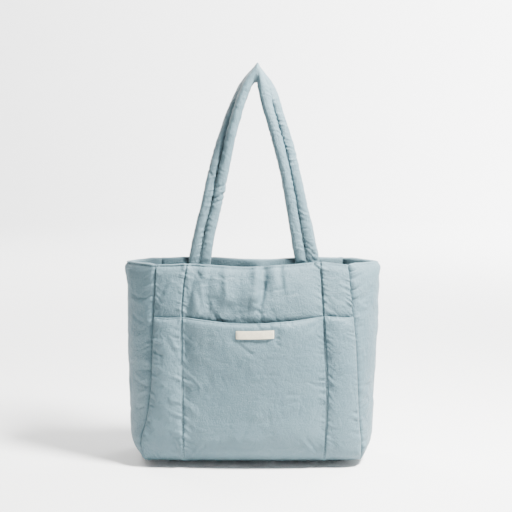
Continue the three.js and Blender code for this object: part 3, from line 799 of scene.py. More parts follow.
# Handles. A section has two round channels beside a stitched middle.
def section():
    """Reach from -1 to 1 across the width and the round half thickness, once around the section."""
    theta = np.linspace(0, math.pi, LOBE_STEPS + 1)
    reach = np.concatenate([-0.5 - 0.5 * np.cos(theta), 0.5 - 0.5 * np.cos(theta[1:])])
    height = np.concatenate([np.sin(theta), np.sin(theta[1:])])
    reach = np.concatenate([reach, reach[1:-1][::-1]])
    side = np.concatenate([np.ones(len(height)), -np.ones(len(height) - 2)])
    height = np.concatenate([height, height[1:-1][::-1]])
    return reach, height, side


SECTION_REACH, SECTION_HEIGHT, SECTION_SIDE = section()
SECTION_MIDDLES = np.nonzero(np.abs(SECTION_REACH) < 1e-6)[0]


def section_ring(middle, to_edge, to_face, girth, fullness):
    full = lerp(HANDLE_END, HANDLE_THICKNESS, fullness) / 2
    flat = HANDLE_SEAM / 2 * 0.9 * np.sqrt(np.maximum(0, 1 - SECTION_REACH ** 8))
    half = np.maximum(full * SECTION_HEIGHT, flat) * SECTION_SIDE
    return (middle[None] + to_edge[None] * (SECTION_REACH * HANDLE_WIDTH * girth / 2)[:, None]
            + to_face[None] * half[:, None])


def handle_value(name, rise):
    return float(along(HANDLE_ROWS, HANDLE_COLUMNS, "rise", name, max(rise, 0.0)))


def lining_depth(x, level):
    lines = channel_lines(outline_at(np.array(level)))
    channel = 0 if x < lines[1] else 2 if x > lines[2] else 1
    share = (x - lines[channel]) / (lines[channel + 1] - lines[channel])
    place = Places(np.array([[level]]), np.array([[channel]]), np.array([[share]]))
    return float((place.seam_y - lining_rise(place))[0, 0])


def foot_depth(out_x):
    xs = [out_x + share * HANDLE_WIDTH for share in (-0.5, -0.25, 0, 0.25, 0.5)]
    return min(lining_depth(x, level) for level in (0.94, 0.97, 1.0) for x in xs) - GAP - HANDLE_END / 2


def handle_rings(side, spread):
    """Rings of one handle from its left foot over the peak to its right foot. side is -1 in front."""
    foot_y = foot_depth(spread / 2)

    def leg_ring(rise, hand):
        suffix = "left" if hand < 0 else "right"

        def out(at):
            return handle_value("out_" + suffix, at) * spread / 2

        x = hand * out(rise) + HANDLE_PEAK_SHIFT * rise
        y = lerp(foot_y, HANDLE_PEAK_GAP, max(rise, 0) ** 1.5)
        at = min(max(rise, 0.01), 0.98)
        tilt = math.atan((out(at - 0.01) - out(at + 0.01)) / (0.02 * HANDLE_RISE))
        upright = lerp(tilt, math.pi / 2, handle_value("lean", rise))
        way = np.array([-hand * math.sin(upright), 0, math.cos(upright)])
        turn = math.radians(handle_value("turn_" + suffix, rise))
        to_edge = np.array([hand * math.cos(upright), 0, math.sin(upright)]) * -math.cos(turn)
        to_edge[1] = side * math.sin(turn)
        to_face = np.cross(to_edge, way) * side * hand / max(0.5, math.cos(upright - tilt))
        fullness = handle_value("plump", rise) if rise > 0 else 0.0
        middle = np.array([x, side * y, HEIGHT + rise * HANDLE_RISE])
        return section_ring(middle, to_edge, to_face, handle_value("girth_" + suffix, rise), fullness)

    count = int((HANDLE_TUCK + HANDLE_RISE) / HANDLE_STEP)
    last = HANDLE_ROWS[-1][0]
    rises = np.linspace(-HANDLE_TUCK / HANDLE_RISE, last, count)
    left = [leg_ring(rise, -1) for rise in rises]
    right = [leg_ring(rise, 1) for rise in rises][::-1]
    middle = np.array([HANDLE_PEAK_SHIFT, side * HANDLE_PEAK_GAP, HEIGHT + HANDLE_RISE])
    thickness = lerp(HANDLE_END, HANDLE_THICKNESS, handle_value("plump", last))
    to_face = np.array([HANDLE_PEAK_LEAN, 0, HANDLE_PEAK_HEIGHT]) / thickness
    peak = section_ring(middle, np.array([0, side, 0]), to_face, handle_value("girth_left", last),
                        handle_value("plump", last))
    near = [lerp(left[-1], peak, t) for t in (0.35, 0.7)]
    far = [lerp(peak, right[0], t) for t in (0.3, 0.65)]
    rings = np.array(left + near + [peak] + far + right)
    return rings[:, ::-1] if side > 0 else rings


def handle_pins(rings):
    pin = np.full(rings.shape[:2], HANDLE_LOOSE)
    pin[:, SECTION_MIDDLES] = 1.0
    pin[:PINNED_RINGS] = 1.0
    pin[-PINNED_RINGS:] = 1.0
    peak = rings.shape[0] // 2
    pin[peak - 3:peak + 4] = np.maximum(pin[peak - 3:peak + 4], HANDLE_PEAK_HOLD)
    return pin


front_rings = handle_rings(-1, HANDLE_SPREAD)
back_rings = handle_rings(1, BACK_HANDLE_SPREAD)
handle_pin = handle_pins(front_rings)
add_job("front_handle", front_rings, handle_pin, HANDLE_EXCESS, closed=True, pressure=1.0)
add_job("back_handle", back_rings, handle_pin[:, ::-1], HANDLE_EXCESS, closed=True, pressure=1.0)

relaxed = run_jobs()


def blurred(grid, cells, closed=False):
    """A grid of vectors averaged with a bell curve over some cells each way."""
    reach = int(cells * 2.5)
    offsets = np.arange(-reach, reach + 1)
    weights = np.exp(-0.5 * (offsets / cells) ** 2)
    weights /= weights.sum()
    out = grid
    for axis, wrap in ((0, False), (1, closed)):
        pad = [(0, 0)] * 3
        pad[axis] = (reach, reach)
        padded = np.pad(out, pad, mode="wrap" if wrap else "edge")
        count = grid.shape[axis]
        out = sum(w * np.take(padded, np.arange(k, k + count), axis) for k, w in enumerate(weights))
    return out


def relaxed_skin(name, bulge=1.5, crease=4.0, gain=1.0, cells=7.0, allow=1.0):
    """A relaxed skin with its broad swelling held to bulge and its creases to crease, in millimetres."""
    job = next(entry for entry in sim_jobs if entry["name"] == name)
    start = job["points"]
    shift = relaxed[name] - start
    broad = blurred(shift, cells, job["closed"])
    fade = np.clip((1 - job["pin"]) / 0.5, 0, 1)[..., None]
    broad = broad * fade
    fine = (shift - broad) * gain
    allow = np.asarray(allow, dtype=float)
    moved = capped(start, start + broad, bulge * allow)
    return moved + capped(np.zeros_like(fine), fine, crease * allow)


def fine_scalar(grid):
    return finer(np.asarray(grid, dtype=float)[..., None])[..., 0]


def settled(points, rim_drop=0.0):
    """The walls round in toward the base's seam, and the rim drops."""
    z = points[..., 2]
    y = points[..., 1] * (1 - FOOT_IN * np.exp(-(np.maximum(z - BASE_LIFT, 0) / FOOT_REACH) ** 2))
    low = z * (1 + BASE_RISE / BASE_LIFT)
    high = z + BASE_RISE * np.exp(-((z - BASE_LIFT) / SETTLE_REACH) ** 2)
    z = np.where(z < BASE_LIFT, low, high)
    z = z - rim_drop * smoothstep(z, HEIGHT - 30, HEIGHT - 4)
    return np.stack([points[..., 0], y, z], -1)


def crease_skin(points, to_seam, hand, seam_number, seed, creases, amount=1.0):
    """Adds tucks along the seams, fine creases and broad dents to a skin, along its normals."""
    to_seam = np.maximum(to_seam, 0.0)
    u, v = cloth_distances(points)
    crowding = lattice_noise(v / 34, u * 0 + seam_number * 5.3, seed + 61)
    cluster = 0.35 + 1.5 * smoothstep(crowding, -0.5, 0.6)
    along_seam = v + 61.7 * seam_number
    rise = puckers(along_seam, to_seam, seed, *FINE_TUCKS, SLANT * hand)
    rise = rise + puckers(along_seam, to_seam, seed + 50, *LONG_TUCKS, SLANT * hand) * cluster
    away = smoothstep(to_seam, 0.0, 6.0)
    where = 0.75 + 0.6 * lattice_noise(u / 45, v / 45, seed + 29)
    rise = rise + (crumple(u, v, seed + 9) * where + dents(u, v, seed + 19, 1.0)) * away
    rise = rise + crease_rise(points, creases, seed + 39) * smoothstep(to_seam, 0.0, 4.0)
    pinch = lerp(0.4, 1.0, smoothstep(points[..., 2], 60, 210))
    rise = rise - pinch * np.exp(-(to_seam / 1.0) ** 2)
    return points + grid_normals(points) * (rise * amount)[..., None]


def crease_rise(points, creases, seed):
    """Height of single ridges and hollows, each along its own path of x and z, in millimetres."""
    x = points[..., 0] + 1.2 * lattice_noise(points[..., 0] / 9, points[..., 2] / 9, seed)
    z = points[..., 2] + 1.2 * lattice_noise(points[..., 0] / 9, points[..., 2] / 9, seed + 1)
    total = np.zeros_like(x)
    for height, half_width, path in creases:
        nearest = np.full_like(x, 1e9)
        for (x0, z0), (x1, z1) in zip(path, path[1:]):
            run = (x1 - x0) ** 2 + (z1 - z0) ** 2
            at = np.clip(((x - x0) * (x1 - x0) + (z - z0) * (z1 - z0)) / run, 0, 1)
            away = np.hypot(x - x0 - at * (x1 - x0), z - z0 - at * (z1 - z0))
            nearest = np.minimum(nearest, away)
        total += height * np.exp(-(nearest / half_width) ** 2)
    return total


# Single creases: height, half width and path.
FRONT_CREASES = (
    (1.7, 6.5, ((-86, 256), (-86.2, 238), (-87.8, 221))),
    (-1.5, 3.2, ((-80.2, 260.4), (-75.9, 251.6), (-77.4, 241.2), (-81.9, 230.9), (-83.4, 219))),
    (-1.1, 3.6, ((-100.8, 242.7), (-95, 231), (-90.7, 220.5))),
    (-0.9, 3.2, ((-80.6, 291), (-73.8, 278.1), (-67.1, 264))),
    (2.1, 4.4, ((-68.5, 269.3), (-62.7, 256), (-59.9, 241.2), (-60, 220.5))),
    (0.7, 3.8, ((-59.9, 238.2), (-54, 232.8), (-46.7, 230.3), (-43.8, 222))),
    (-0.7, 4.0, ((-67.1, 253), (-65.7, 238), (-64.3, 220.5))),
    (-0.9, 6.0, ((-54.5, 246.5), (-46.8, 242), (-38.5, 242.2))),
    (1.2, 4.5, ((-40.7, 291.3), (-40.8, 269.3), (-37.9, 253), (-33.5, 246.2))),
    (-1.1, 5.5, ((-47.6, 284), (-47.6, 264.8), (-50.6, 251.6))),
    (2.0, 4.2, ((6.4, 293), (6.6, 269.3), (7.9, 253), (8.9, 242.7))),
    (-1.3, 5.0, ((13.5, 292), (16.5, 280), (16.2, 268))),
    (-1.8, 2.6, ((16.2, 274), (14.7, 258.9), (11.8, 241.2))),
    (-1.1, 6.0, ((18.6, 293), (20.1, 276.6), (17.2, 264.8))),
    (1.2, 4.8, ((31.7, 296), (31.8, 276.6), (29.3, 261.9))),
    (-0.6, 3.8, ((39.5, 296), (41, 279.6), (41, 266.3))),
    (0.9, 4.0, ((46, 296), (47.4, 276.6), (48.9, 261.9))),
    (-0.7, 2.2, ((55.6, 257.5), (64.4, 260.4), (68.8, 264.8))),
    (-0.7, 2.2, ((25, 260.4), (32.3, 263.4), (38.1, 263.4))),
    (-1.4, 2.0, ((11.8, 230.9), (11.8, 217.5))),
    (0.8, 3.0, ((-24.8, 242.7), (-23.3, 220.5))),
    (-0.6, 3.4, ((-125.4, 275.2), (-131.4, 260.4), (-138.8, 247.1))),
    (0.6, 3.4, ((-119, 275.2), (-125, 260.4), (-131, 247.1))),
)
POCKET_CREASES = (
    (-2.0, 9.0, ((-97, 198), (-98, 176), (-96, 153))),
    (-1.5, 7.0, ((-99, 126), (-97, 104))),
    (0.7, 1.8, ((-98, 163.4), (-87.5, 154.4))),
    (0.8, 2.0, ((-99, 144), (-87, 136), (-77, 123))),
    (0.7, 1.8, ((-98.4, 130.6), (-89.2, 118.2))),
    (0.8, 1.8, ((-98.6, 100.7), (-88.5, 90.8))),
    (0.7, 7.0, ((-78, 40), (-20, 50), (42, 36), (88, 28))),
    (-0.6, 7.0, ((-60, 78), (0, 70), (60, 82))),
    (0.5, 2.0, ((44, 31.6), (69.3, 40.6))),
    (0.5, 2.0, ((57.6, 23.5), (92, 37.6))),
    (-0.5, 1.6, ((50, 27), (80, 39))),
    (-0.8, 1.7, ((-19.9, 186.8), (-10.7, 180.3), (-1, 173.4))),
    (0.5, 2.2, ((-17, 190.5), (-8, 184.5), (2, 177.5))),
    (0.4, 2.0, ((-12, 172), (-4, 168), (3, 163))),
    (-0.9, 1.4, ((32.4, 196.7), (38.2, 195.2))),
    (-1.0, 1.5, ((33, 191.5), (40.5, 185))),
    (-1.1, 1.7, ((4.5, 214.5), (11.8, 207.1), (17.7, 202.7))),
    (0.8, 1.8, ((10, 215), (16, 209), (22, 204))),
    (-1.0, 1.7, ((22.1, 214.5), (28, 205.6))),
    (-0.8, 1.5, ((-27.5, 201.2), (-31, 191))),
    (-0.9, 2.6, ((82.6, 129.4), (93, 124.9), (101.8, 121.9))),
    (-0.9, 2.8, ((-126.1, 192.2), (-120.4, 178.8), (-113.1, 168.4))),
    (0.9, 2.8, ((-119, 192.2), (-113.4, 180.8), (-107, 171.4))),
    (-1.2, 2.4, ((-142.5, 171.4), (-132.2, 166.9))),
    (-1.0, 2.0, ((-142.6, 156.4), (-135.3, 154.9))),
    (1.3, 2.6, ((-121, 105.4), (-113.6, 100.8), (-103.3, 100.8))),
    (-1.2, 1.6, ((-147, 20), (-141, 9))),
    (1.1, 1.7, ((-143.5, 22), (-137, 9))),
    (-1.1, 1.6, ((-139, 21), (-133, 9))),
)
GUSSET_CREASES = {
    "left": (
        (-1.04, 2.6, ((-177, 252), (-166, 249), (-155, 248))),
        (0.78, 3.5, ((-178, 244), (-166, 240), (-156, 240))),
        (-0.91, 2.4, ((-176, 222), (-165, 214), (-156, 212))),
        (-0.98, 2.4, ((-174, 126), (-163, 119), (-151, 122))),
        (0.72, 3.2, ((-172, 134), (-162, 128), (-152, 131))),
        (-0.91, 2.6, ((-172, 84), (-162, 90), (-152, 93))),
        (-0.78, 2.2, ((-170, 57), (-160, 66), (-153, 72))),
        (1.04, 3.0, ((-166, 30), (-156, 36), (-148, 40))),
        (-1.17, 2.6, ((-160, 17), (-152, 23), (-145, 30))),
        (-1.04, 2.2, ((-168, 40), (-160, 43), (-152, 49))),
        (2.0, 7.0, ((-162, 20), (-156, 14), (-150, 11))),
    ),
    "right": (
        (-0.9, 3.0, ((176, 262), (166, 250), (158, 246))),
        (-1.2, 2.4, ((172, 120), (162, 112), (156, 106))),
        (1.0, 3.0, ((173, 128), (164, 120), (156, 113))),
        (-1.2, 2.2, ((170, 92), (162, 86), (156, 84))),
        (-1.0, 2.4, ((166, 40), (158, 34), (150, 34))),
    ),
}


def scattered_creases(seed, count, low_x, high_x, low_z, high_z):
    """Seeded slanting creases over a rectangle of the cloth."""
    rng = np.random.default_rng(seed)
    creases = []
    for k in range(count):
        x = rng.uniform(low_x, high_x)
        z = rng.uniform(low_z, high_z)
        turn = math.radians(rng.normal(-38, 16) + 180 * rng.integers(0, 2))
        long = rng.uniform(9, 21)
        bend = rng.uniform(-0.35, 0.35)
        path = tuple((x + long * t * math.cos(turn + bend * t), z + long * t * math.sin(turn + bend * t))
                     for t in (-1, 0, 1))
        height = rng.uniform(-1.5, -0.7) if k % 2 else rng.uniform(0.6, 1.3)
        creases.append((height, rng.uniform(2.4, 4.2), path))
    return tuple(creases)


def slouch(points):
    """How far the middle of the front hangs forward in one soft bulge between rim and pocket."""
    x = points[..., 0] + 3 * lattice_noise(points[..., 2] / 18, points[..., 0] / 30, 71)
    z = points[..., 2] + 2.5 * lattice_noise(points[..., 0] / 16, points[..., 2] / 30, 72)
    across = smoothstep(x, -74, -30) * (1 - smoothstep(x, 5, 17))
    right = smoothstep(x, 20, 55) * (1 - smoothstep(x, 66, 96))
    under = smoothstep(z, 230, 255) * (1 - smoothstep(z, 254, 297))
    return SLOUCH * under * (across + 0.35 * right)


def wall_skin(name, place, side, seed, creases, amount=1.0, **holds):
    """A wall's outer face, relaxed within its holds and creased."""
    return crease_skin(finer(relaxed_skin(name, **holds)), fine_scalar(place.to_seam),
                       side * fine_scalar(place.hand), fine_scalar(place.seam_number),
                       seed, creases, amount)


# Outer skins.
seen = smoothstep(front.level, 0.69, 0.755)
front_outer = wall_skin("front", front, 1, 101, FRONT_CREASES, fine_scalar(seen),
                        bulge=2.0, crease=2.0, gain=0.6, allow=seen)
front_outer[..., 1] -= slouch(front_outer)
front_outer = settled(front_outer, FRONT_RIM_DROP)
back_outer = wall_skin("back", back, -1, 201, scattered_creases(91, 26, -95, 95, 25, 285))
back_outer = settled(back_outer, BACK_RIM_DROP)
to_hem = (pocket_edge(pocket.channel, pocket.share) - pocket.level) * WALL_RISE
at_corner = np.exp(-(to_hem / 20) ** 2 - (pocket.to_seam / 20) ** 2)
pocket_outer = wall_skin("pocket", pocket, 1, 301, POCKET_CREASES, 1 - fine_scalar(under_label) * 0.9,
                         allow=(1 - 0.85 * under_label) * (1 - 0.9 * at_corner))
pocket_outer = settled(pocket_outer)


def gusset_settled(points):
    """A gusset's rim drops most at its front edge."""
    to_edge = np.clip(points[..., 1] / (DEPTH / 3), -1, 1)
    return settled(points, np.where(to_edge < 0, FRONT_RIM_DROP, BACK_RIM_DROP) * to_edge ** 2)


BACK_LINING_CREASES = (
    (3.6, 7.0, ((10, 250), (11, 300))),
    (2.4, 9.0, ((-1, 255), (0, 300))),
    (1.2, 11.0, ((-14, 255), (-14, 300))),
    (1.2, 8.0, ((60, 255), (66, 300))),
    (-3.2, 7.5, ((-20, 284), (0, 283))),
    (-2.4, 7.0, ((-122, 285), (-106, 285))),
)


# Linings, coarser than the skins.
def thinned(grid):
    return grid[::LINING_STEP, ::LINING_STEP]


def rimmed_wall(name, outer, inner, height=1.0):
    return padded_wall(name, rolled_edge(outer, inner[-1], height), inner)


def creased_lining(points, to_seam, seed, creases=()):
    """A lining's face with soft creases; its grid runs the same way as the outer skin's."""
    u, v = cloth_distances(points)
    rise = (crumple(u, v, seed) * 0.9 + dents(u, v, seed + 5, 0.8, 50.0)) * smoothstep(to_seam, 1.0, 9.0)
    rise = np.clip(rise, -1.0, 1.2) + crease_rise(points, creases, seed + 7)
    return points - grid_normals(points) * rise[..., None]


front_inner = settled(thinned(lining_points(front, -1, FRONT_RIM_ROWS)), FRONT_RIM_DROP)
back_inner = lining_points(back, 1, BACK_RIM_ROWS)
back_inner = creased_lining(back_inner, back.to_seam, 811, BACK_LINING_CREASES)
back_inner = settled(thinned(back_inner), BACK_RIM_DROP)

front_wall = rimmed_wall("front_wall", front_outer, front_inner)
back_wall = rimmed_wall("back_wall", back_outer, back_inner)
gusset_walls = []
hand = fine_scalar(np.sign(gusset_across) + gusset_seam * 0)
for name, side, _, seed, lining_seed in GUSSETS:
    skin = crease_skin(finer(relaxed_skin(name, bulge=2.0)), fine_scalar(gusset_seam), hand, hand,
                       seed, GUSSET_CREASES[name])
    lining = gusset_points(side, back_levels, side * gusset_across, True)
    lining = thinned(creased_lining(lining, gusset_seam, lining_seed))
    gusset_walls.append(rimmed_wall(name + "_side", gusset_settled(skin), gusset_settled(lining)))
pocket_wall = rimmed_wall("pocket_wall", pocket_outer, settled(thinned(pocket_inner)), 0.5)


STRAP_CREASES = (
    (-1.4, 1.8, ((-58, 397), (-48, 399), (-36, 402))),
    (0.8, 1.8, ((-58, 401), (-48, 404), (-36, 407))),
    (-1.0, 1.6, ((-59, 389), (-50, 391), (-39, 392))),
    (-1.2, 1.8, ((-54, 411), (-44, 414), (-36, 415))),
    (-0.8, 1.8, ((-76, 352), (-68, 358))),
    (-0.8, 1.8, ((-78, 340), (-70, 348))),
    (-0.9, 2.0, ((-66, 438), (-60, 428))),
    (-1.2, 1.6, ((76, 318), (84, 312), (92, 304))),
    (-1.2, 1.6, ((75, 327), (82, 321), (90, 314))),
    (-1.0, 1.6, ((74, 336), (80, 331), (86, 325))),
)


def handle_piece(name, job_name, seed):
    rings = relaxed_skin(job_name, bulge=1.0, crease=1.6, gain=1.3, cells=4.0)
    closed = finer(rings, True)
    length = np.concatenate([[0], np.cumsum(np.linalg.norm(np.diff(closed.mean(1), axis=0), axis=1))])
    count = closed.shape[1]
    reach = np.interp(np.arange(count) / 2, np.arange(count // 2 + 1),
                      np.append(SECTION_REACH, SECTION_REACH[0]))[None, :]
    v = length[:, None] + np.zeros((1, count))
    to_seam = np.abs(reach) * HANDLE_WIDTH / 2 + v * 0
    around = np.arange(count)[None, :] * 1.6 + v * 0
    inner = reach > 0
    hand = np.where(inner | (length < length[-1] / 2)[:, None], 1.0, -1.0)
    rise = puckers(v + np.where(inner, 40.0, 0.0), to_seam, seed, *STRAP_TUCKS, SLANT * hand)
    rise = rise + puckers(v, HANDLE_WIDTH / 2 - to_seam, seed + 7, *STRAP_EDGE_TUCKS)
    left_leg = 1 - smoothstep(closed[..., 0], -20, 0)
    deep = smoothstep(closed[..., 2], 400, 470) * left_leg
    rise = rise - lerp(0.6, 1.5, deep) * np.exp(-(to_seam / lerp(1.2, 2.6, deep)) ** 2)
    rise = rise + 2.6 * smoothstep(closed[..., 2], 520, 550) * np.exp(-(to_seam / 4.0) ** 2)
    rise = rise + crumple(around, v, seed + 3) * 0.6 * smoothstep(to_seam, 0, 4)
    rise = rise + crease_rise(closed, STRAP_CREASES, seed + 11)
    rise = rise * smoothstep(length, 10, 22)[:, None] * smoothstep(length[-1] - length, 10, 22)[:, None]
    closed = closed + grid_normals(closed, True) * rise[..., None]
    rows = closed.shape[0]
    faces = grid_quads(rows, count, True).tolist()
    points = np.concatenate([closed.reshape(-1, 3), closed[0].mean(0)[None], closed[-1].mean(0)[None]])
    first, last = rows * count, rows * count + 1
    for c in range(count):
        n = (c + 1) % count
        faces.append((first, n, c))
        faces.append((last, (rows - 1) * count + c, (rows - 1) * count + n))
    uv = np.concatenate([np.stack([around, v], -1).reshape(-1, 2), [[0, 0], [0, length[-1]]]])
    return link_mesh(name, points, faces, uv), closed


front_strap, front_strap_grid = handle_piece("front_strap", "front_handle", 601)
back_strap, back_strap_grid = handle_piece("back_strap", "back_handle", 701)


# The base: flat underneath inside a rounded edge, tucked in below the seam.
def base_grid(under, count_x, count_y):
    outline = outline_at(np.array(0.0))
    share_x = crowded(count_x, 0.6)[None, :] * 2 - 1
    share_y = (crowded(count_y, 0.6)[::-1] * 2 - 1)[:, None] * -1
    seam = np.where(share_x < 0, outline["seam_left"], outline["seam_right"])
    fold = np.where(share_x < 0, outline["fold_left"], outline["fold_right"]) - SIDE_PUFF
    inset = GAP if under else GAP + SEAM_THICKNESS
    x = share_x * (seam + (fold - seam) * (1 - np.abs(share_y) ** outline["sharp"]) - inset)
    y = -share_y * (outline["depth"] + BOW * (1 - share_x ** 2) - inset)
    to_end = (1 - np.abs(share_x)) * seam + share_y * 0
    to_side = (1 - np.abs(share_y)) * outline["depth"] + share_x * 0
    middle = shoulder(to_end, BASE_ROLL) * shoulder(to_side, BASE_ROLL)
    if under:
        middle = smoothstep(to_end, *UNDERCUT) * smoothstep(to_side, *UNDERCUT)
        z = (BASE_LIFT - GAP) * (1 - middle)
        tucks = puckers(x + y, np.minimum(to_end, to_side), 801, *BASE_TUCKS)
        z = np.maximum(z - tucks * smoothstep(z, 0.2, 3.0), 0.0)
    else:
        z = BASE_LIFT + SEAM_THICKNESS - GAP + LINING_PUFF * middle
    return np.stack([x, y, z + share_x * 0], -1)


base_wall = padded_wall("base_wall", settled(base_grid(True, 120, 56)), settled(base_grid(False, 30, 14)))


# The bare woven label follows the pocket's face.
def label_grid(away, count_x, count_z):
    u = np.linspace(-1, 1, count_x)[None, :]
    w = np.linspace(-1, 1, count_z)[:, None]
    x = LABEL_SHIFT + u * LABEL_WIDTH / 2 + w * 0
    z = LABEL_MIDDLE + w * LABEL_HEIGHT / 2 + u * 0
    level = (z - BASE_LIFT) / WALL_RISE
    outline = outline_at(level)
    share = (x + outline["stitch_left"]) / (outline["stitch_right"] + outline["stitch_left"])
    place = Places(level, np.ones_like(x, dtype=int), share)
    outer = pocket_rises(place)[1]
    edge = 1 - np.maximum(np.abs(u), np.abs(w) * 0.6) ** 12
    sway = 0.25 * np.sin(u * 2.6 + 0.6) + 0.12 * np.sin(u * 7 + w)
    lift = away * edge if away > GAP else away
    return wall_points(place, -1, outer + lift + sway + 0.45, FRONT_RIM_ROWS)


label_face = label_grid(GAP + LABEL_THICKNESS, 85, 25)
label_piece = padded_wall("bare_label", label_face, label_grid(GAP, 22, 7))


# Threads: short stitches that lie in the quilting rows.
thread_points = []
thread_faces = []


def add_stitch(start, end, radius):
    """One stitch as a thin tapered rod between two points."""
    axis = end - start
    length = np.linalg.norm(axis)
    axis = axis / length
    helper = np.array([0.0, 1.0, 0.0]) if abs(axis[1]) < 0.8 else np.array([1.0, 0.0, 0.0])
    side = np.cross(axis, helper)
    side /= np.linalg.norm(side)
    other = np.cross(axis, side)
    first = len(thread_points)
    profile = ((0.0, 0.3), (0.12, 0.85), (0.5, 1.0), (0.88, 0.85), (1.0, 0.3))
    sides = 6
    for place, girth in profile:
        for k in range(sides):
            angle = 2 * math.pi * k / sides
            around = side * math.cos(angle) + other * math.sin(angle)
            thread_points.append(start + axis * length * place + around * radius * girth)
    for ring in range(len(profile) - 1):
        for k in range(sides):
            a = first + ring * sides + k
            b = first + ring * sides + (k + 1) % sides
            thread_faces.append((a, b, b + sides, a + sides))
    thread_faces.append(tuple(first + k for k in range(sides))[::-1])
    thread_faces.append(tuple(first + (len(profile) - 1) * sides + k for k in range(sides)))


def sew(line, lift, pitch=STITCH_PITCH, length=STITCH_LENGTH, radius=THREAD_RADIUS):
    """Stitches along a line of points, lifted off the cloth by a vector for each point or for all."""
    line = np.asarray(line) + np.asarray(lift)
    runs = np.concatenate([[0], np.cumsum(np.linalg.norm(np.diff(line, axis=0), axis=1))])
    place = pitch / 2
    while place + length < runs[-1]:
        ends = [np.array([np.interp(at, runs, line[:, k]) for k in range(3)])
                for at in (place, place + length)]
        add_stitch(ends[0], ends[1], radius)
        place += pitch


out_front = np.array([0, -THREAD_LIFT, 0])
for column in STITCH_COLUMNS[1:3]:
    sew(pocket_outer[2:-2, 2 * column], out_front)
    front_line = front_outer[:, 2 * column]
    sew(front_line[front_line[:, 2] > POCKET_HEIGHT + 2], out_front)
    sew(back_outer[2:-2, 2 * column], -out_front)
for grid in (front_strap_grid, back_strap_grid):
    normals = grid_normals(grid, True)
    for column in SECTION_MIDDLES * 2:
        rows = slice(STRAP_MARGIN, -STRAP_MARGIN)
        sew(grid[rows, column], normals[rows, column] * THREAD_LIFT)
for column in (4, 80):
    sew(label_face[2:-2, column], out_front, *LABEL_THREAD)
threads = link_mesh("threads", np.array(thread_points), thread_faces)


# Materials.
def new_material(name, **constants):
    """A material with one shader, its constants set on the shader's own sockets."""
    material = bpy.data.materials.new(name)
    material.use_nodes = True
    tree = material.node_tree
    tree.nodes.clear()
    output = tree.nodes.new("ShaderNodeOutputMaterial")
    shader = tree.nodes.new("ShaderNodeBsdfPrincipled")
    tree.links.new(shader.outputs["BSDF"], output.inputs["Surface"])
    for socket, value in constants.items():
        shader.inputs[socket.replace("_", " ")].default_value = value
    coords = tree.nodes.new("ShaderNodeTexCoord")
    return material, tree, shader.inputs, coords.outputs["Object"], coords.outputs["UV"]


def add_node(tree, kind, output, inputs, **settings):
    """A new node's output. Each of its inputs is either a value or another node's output."""
    node = tree.nodes.new("ShaderNode" + kind)
    for name, value in settings.items():
        setattr(node, name, value)
    for name, value in inputs.items():
        if isinstance(value, bpy.types.NodeSocket):
            tree.links.new(value, node.inputs[name])
        else:
            node.inputs[name].default_value = value
    return node.outputs[output]


def noise(tree, vector, scale, detail=3.0, rough=0.55, distort=0.0):
    return add_node(tree, "TexNoise", "Fac", {"Vector": vector, "Scale": scale, "Detail": detail,
                                              "Roughness": rough, "Distortion": distort})


def mapping(tree, vector, scale):
    return add_node(tree, "Mapping", "Vector", {"Vector": vector, "Scale": scale})


def bump(tree, height, distance, strength, normal=None):
    inputs = {"Height": height, "Distance": distance, "Strength": strength}
    if normal is not None:
        inputs["Normal"] = normal
    return add_node(tree, "Bump", "Normal", inputs)


def wave(tree, vector, direction, scale, distortion):
    return add_node(tree, "TexWave", "Fac", {"Vector": vector, "Scale": scale, "Distortion": distortion},
                    wave_type="BANDS", bands_direction=direction)


def ramp(tree, factor, dark, light):
    """Dark where the factor is 0.3 or less, light where it is 0.7 or more."""
    node = tree.nodes.new("ShaderNodeValToRGB")
    for element, place, colour in zip(node.color_ramp.elements, (0.3, 0.7), (dark, light)):
        element.position = place
        element.color = (*colour, 1.0)
    tree.links.new(factor, node.inputs["Fac"])
    return node.outputs["Color"]


def crinkled_nylon(name, dark, light):
    """Thin crinkled nylon: upright crinkles, a fine plain weave and a soft sheen."""
    material, tree, shader, place, cloth = new_material(
        name, Specular_IOR_Level=0.32, Sheen_Weight=0.05, Sheen_Roughness=0.4,
        Sheen_Tint=(0.9, 0.95, 1.0, 1.0))
    tree.links.new(ramp(tree, noise(tree, place, 9.0, 4.0, 0.6), dark, light), shader["Base Color"])
    upright = noise(tree, mapping(tree, cloth, (620.0, 130.0, 1.0)), 1.0, 3.0, 0.6, 0.6)
    level = noise(tree, mapping(tree, cloth, (120.0, 520.0, 1.0)), 1.0, 2.0, 0.6, 0.5)
    lumps = noise(tree, place, 210.0, 4.0, 0.62, 0.8)
    warp = wave(tree, cloth, "X", 260.0, 0.4)
    weft = wave(tree, cloth, "Y", 260.0, 0.4)
    half_warp = add_node(tree, "Math", "Value", {0: warp, 1: 0.5}, operation="MULTIPLY")
    weave = add_node(tree, "Math", "Value", {0: weft, 1: 0.5, 2: half_warp}, operation="MULTIPLY_ADD")
    normal = None
    for height, distance, strength in ((lumps, 0.0016, 0.7), (upright, 0.0013, 0.8),
                                       (level, 0.0006, 0.7), (weave, 0.00012, 0.25)):
        normal = bump(tree, height, distance, strength, normal)
    tree.links.new(normal, shader["Normal"])
    gloss = ramp(tree, noise(tree, place, 60.0), (0.5, 0.5, 0.5), (0.66, 0.66, 0.66))
    tree.links.new(gloss, shader["Roughness"])
    return material


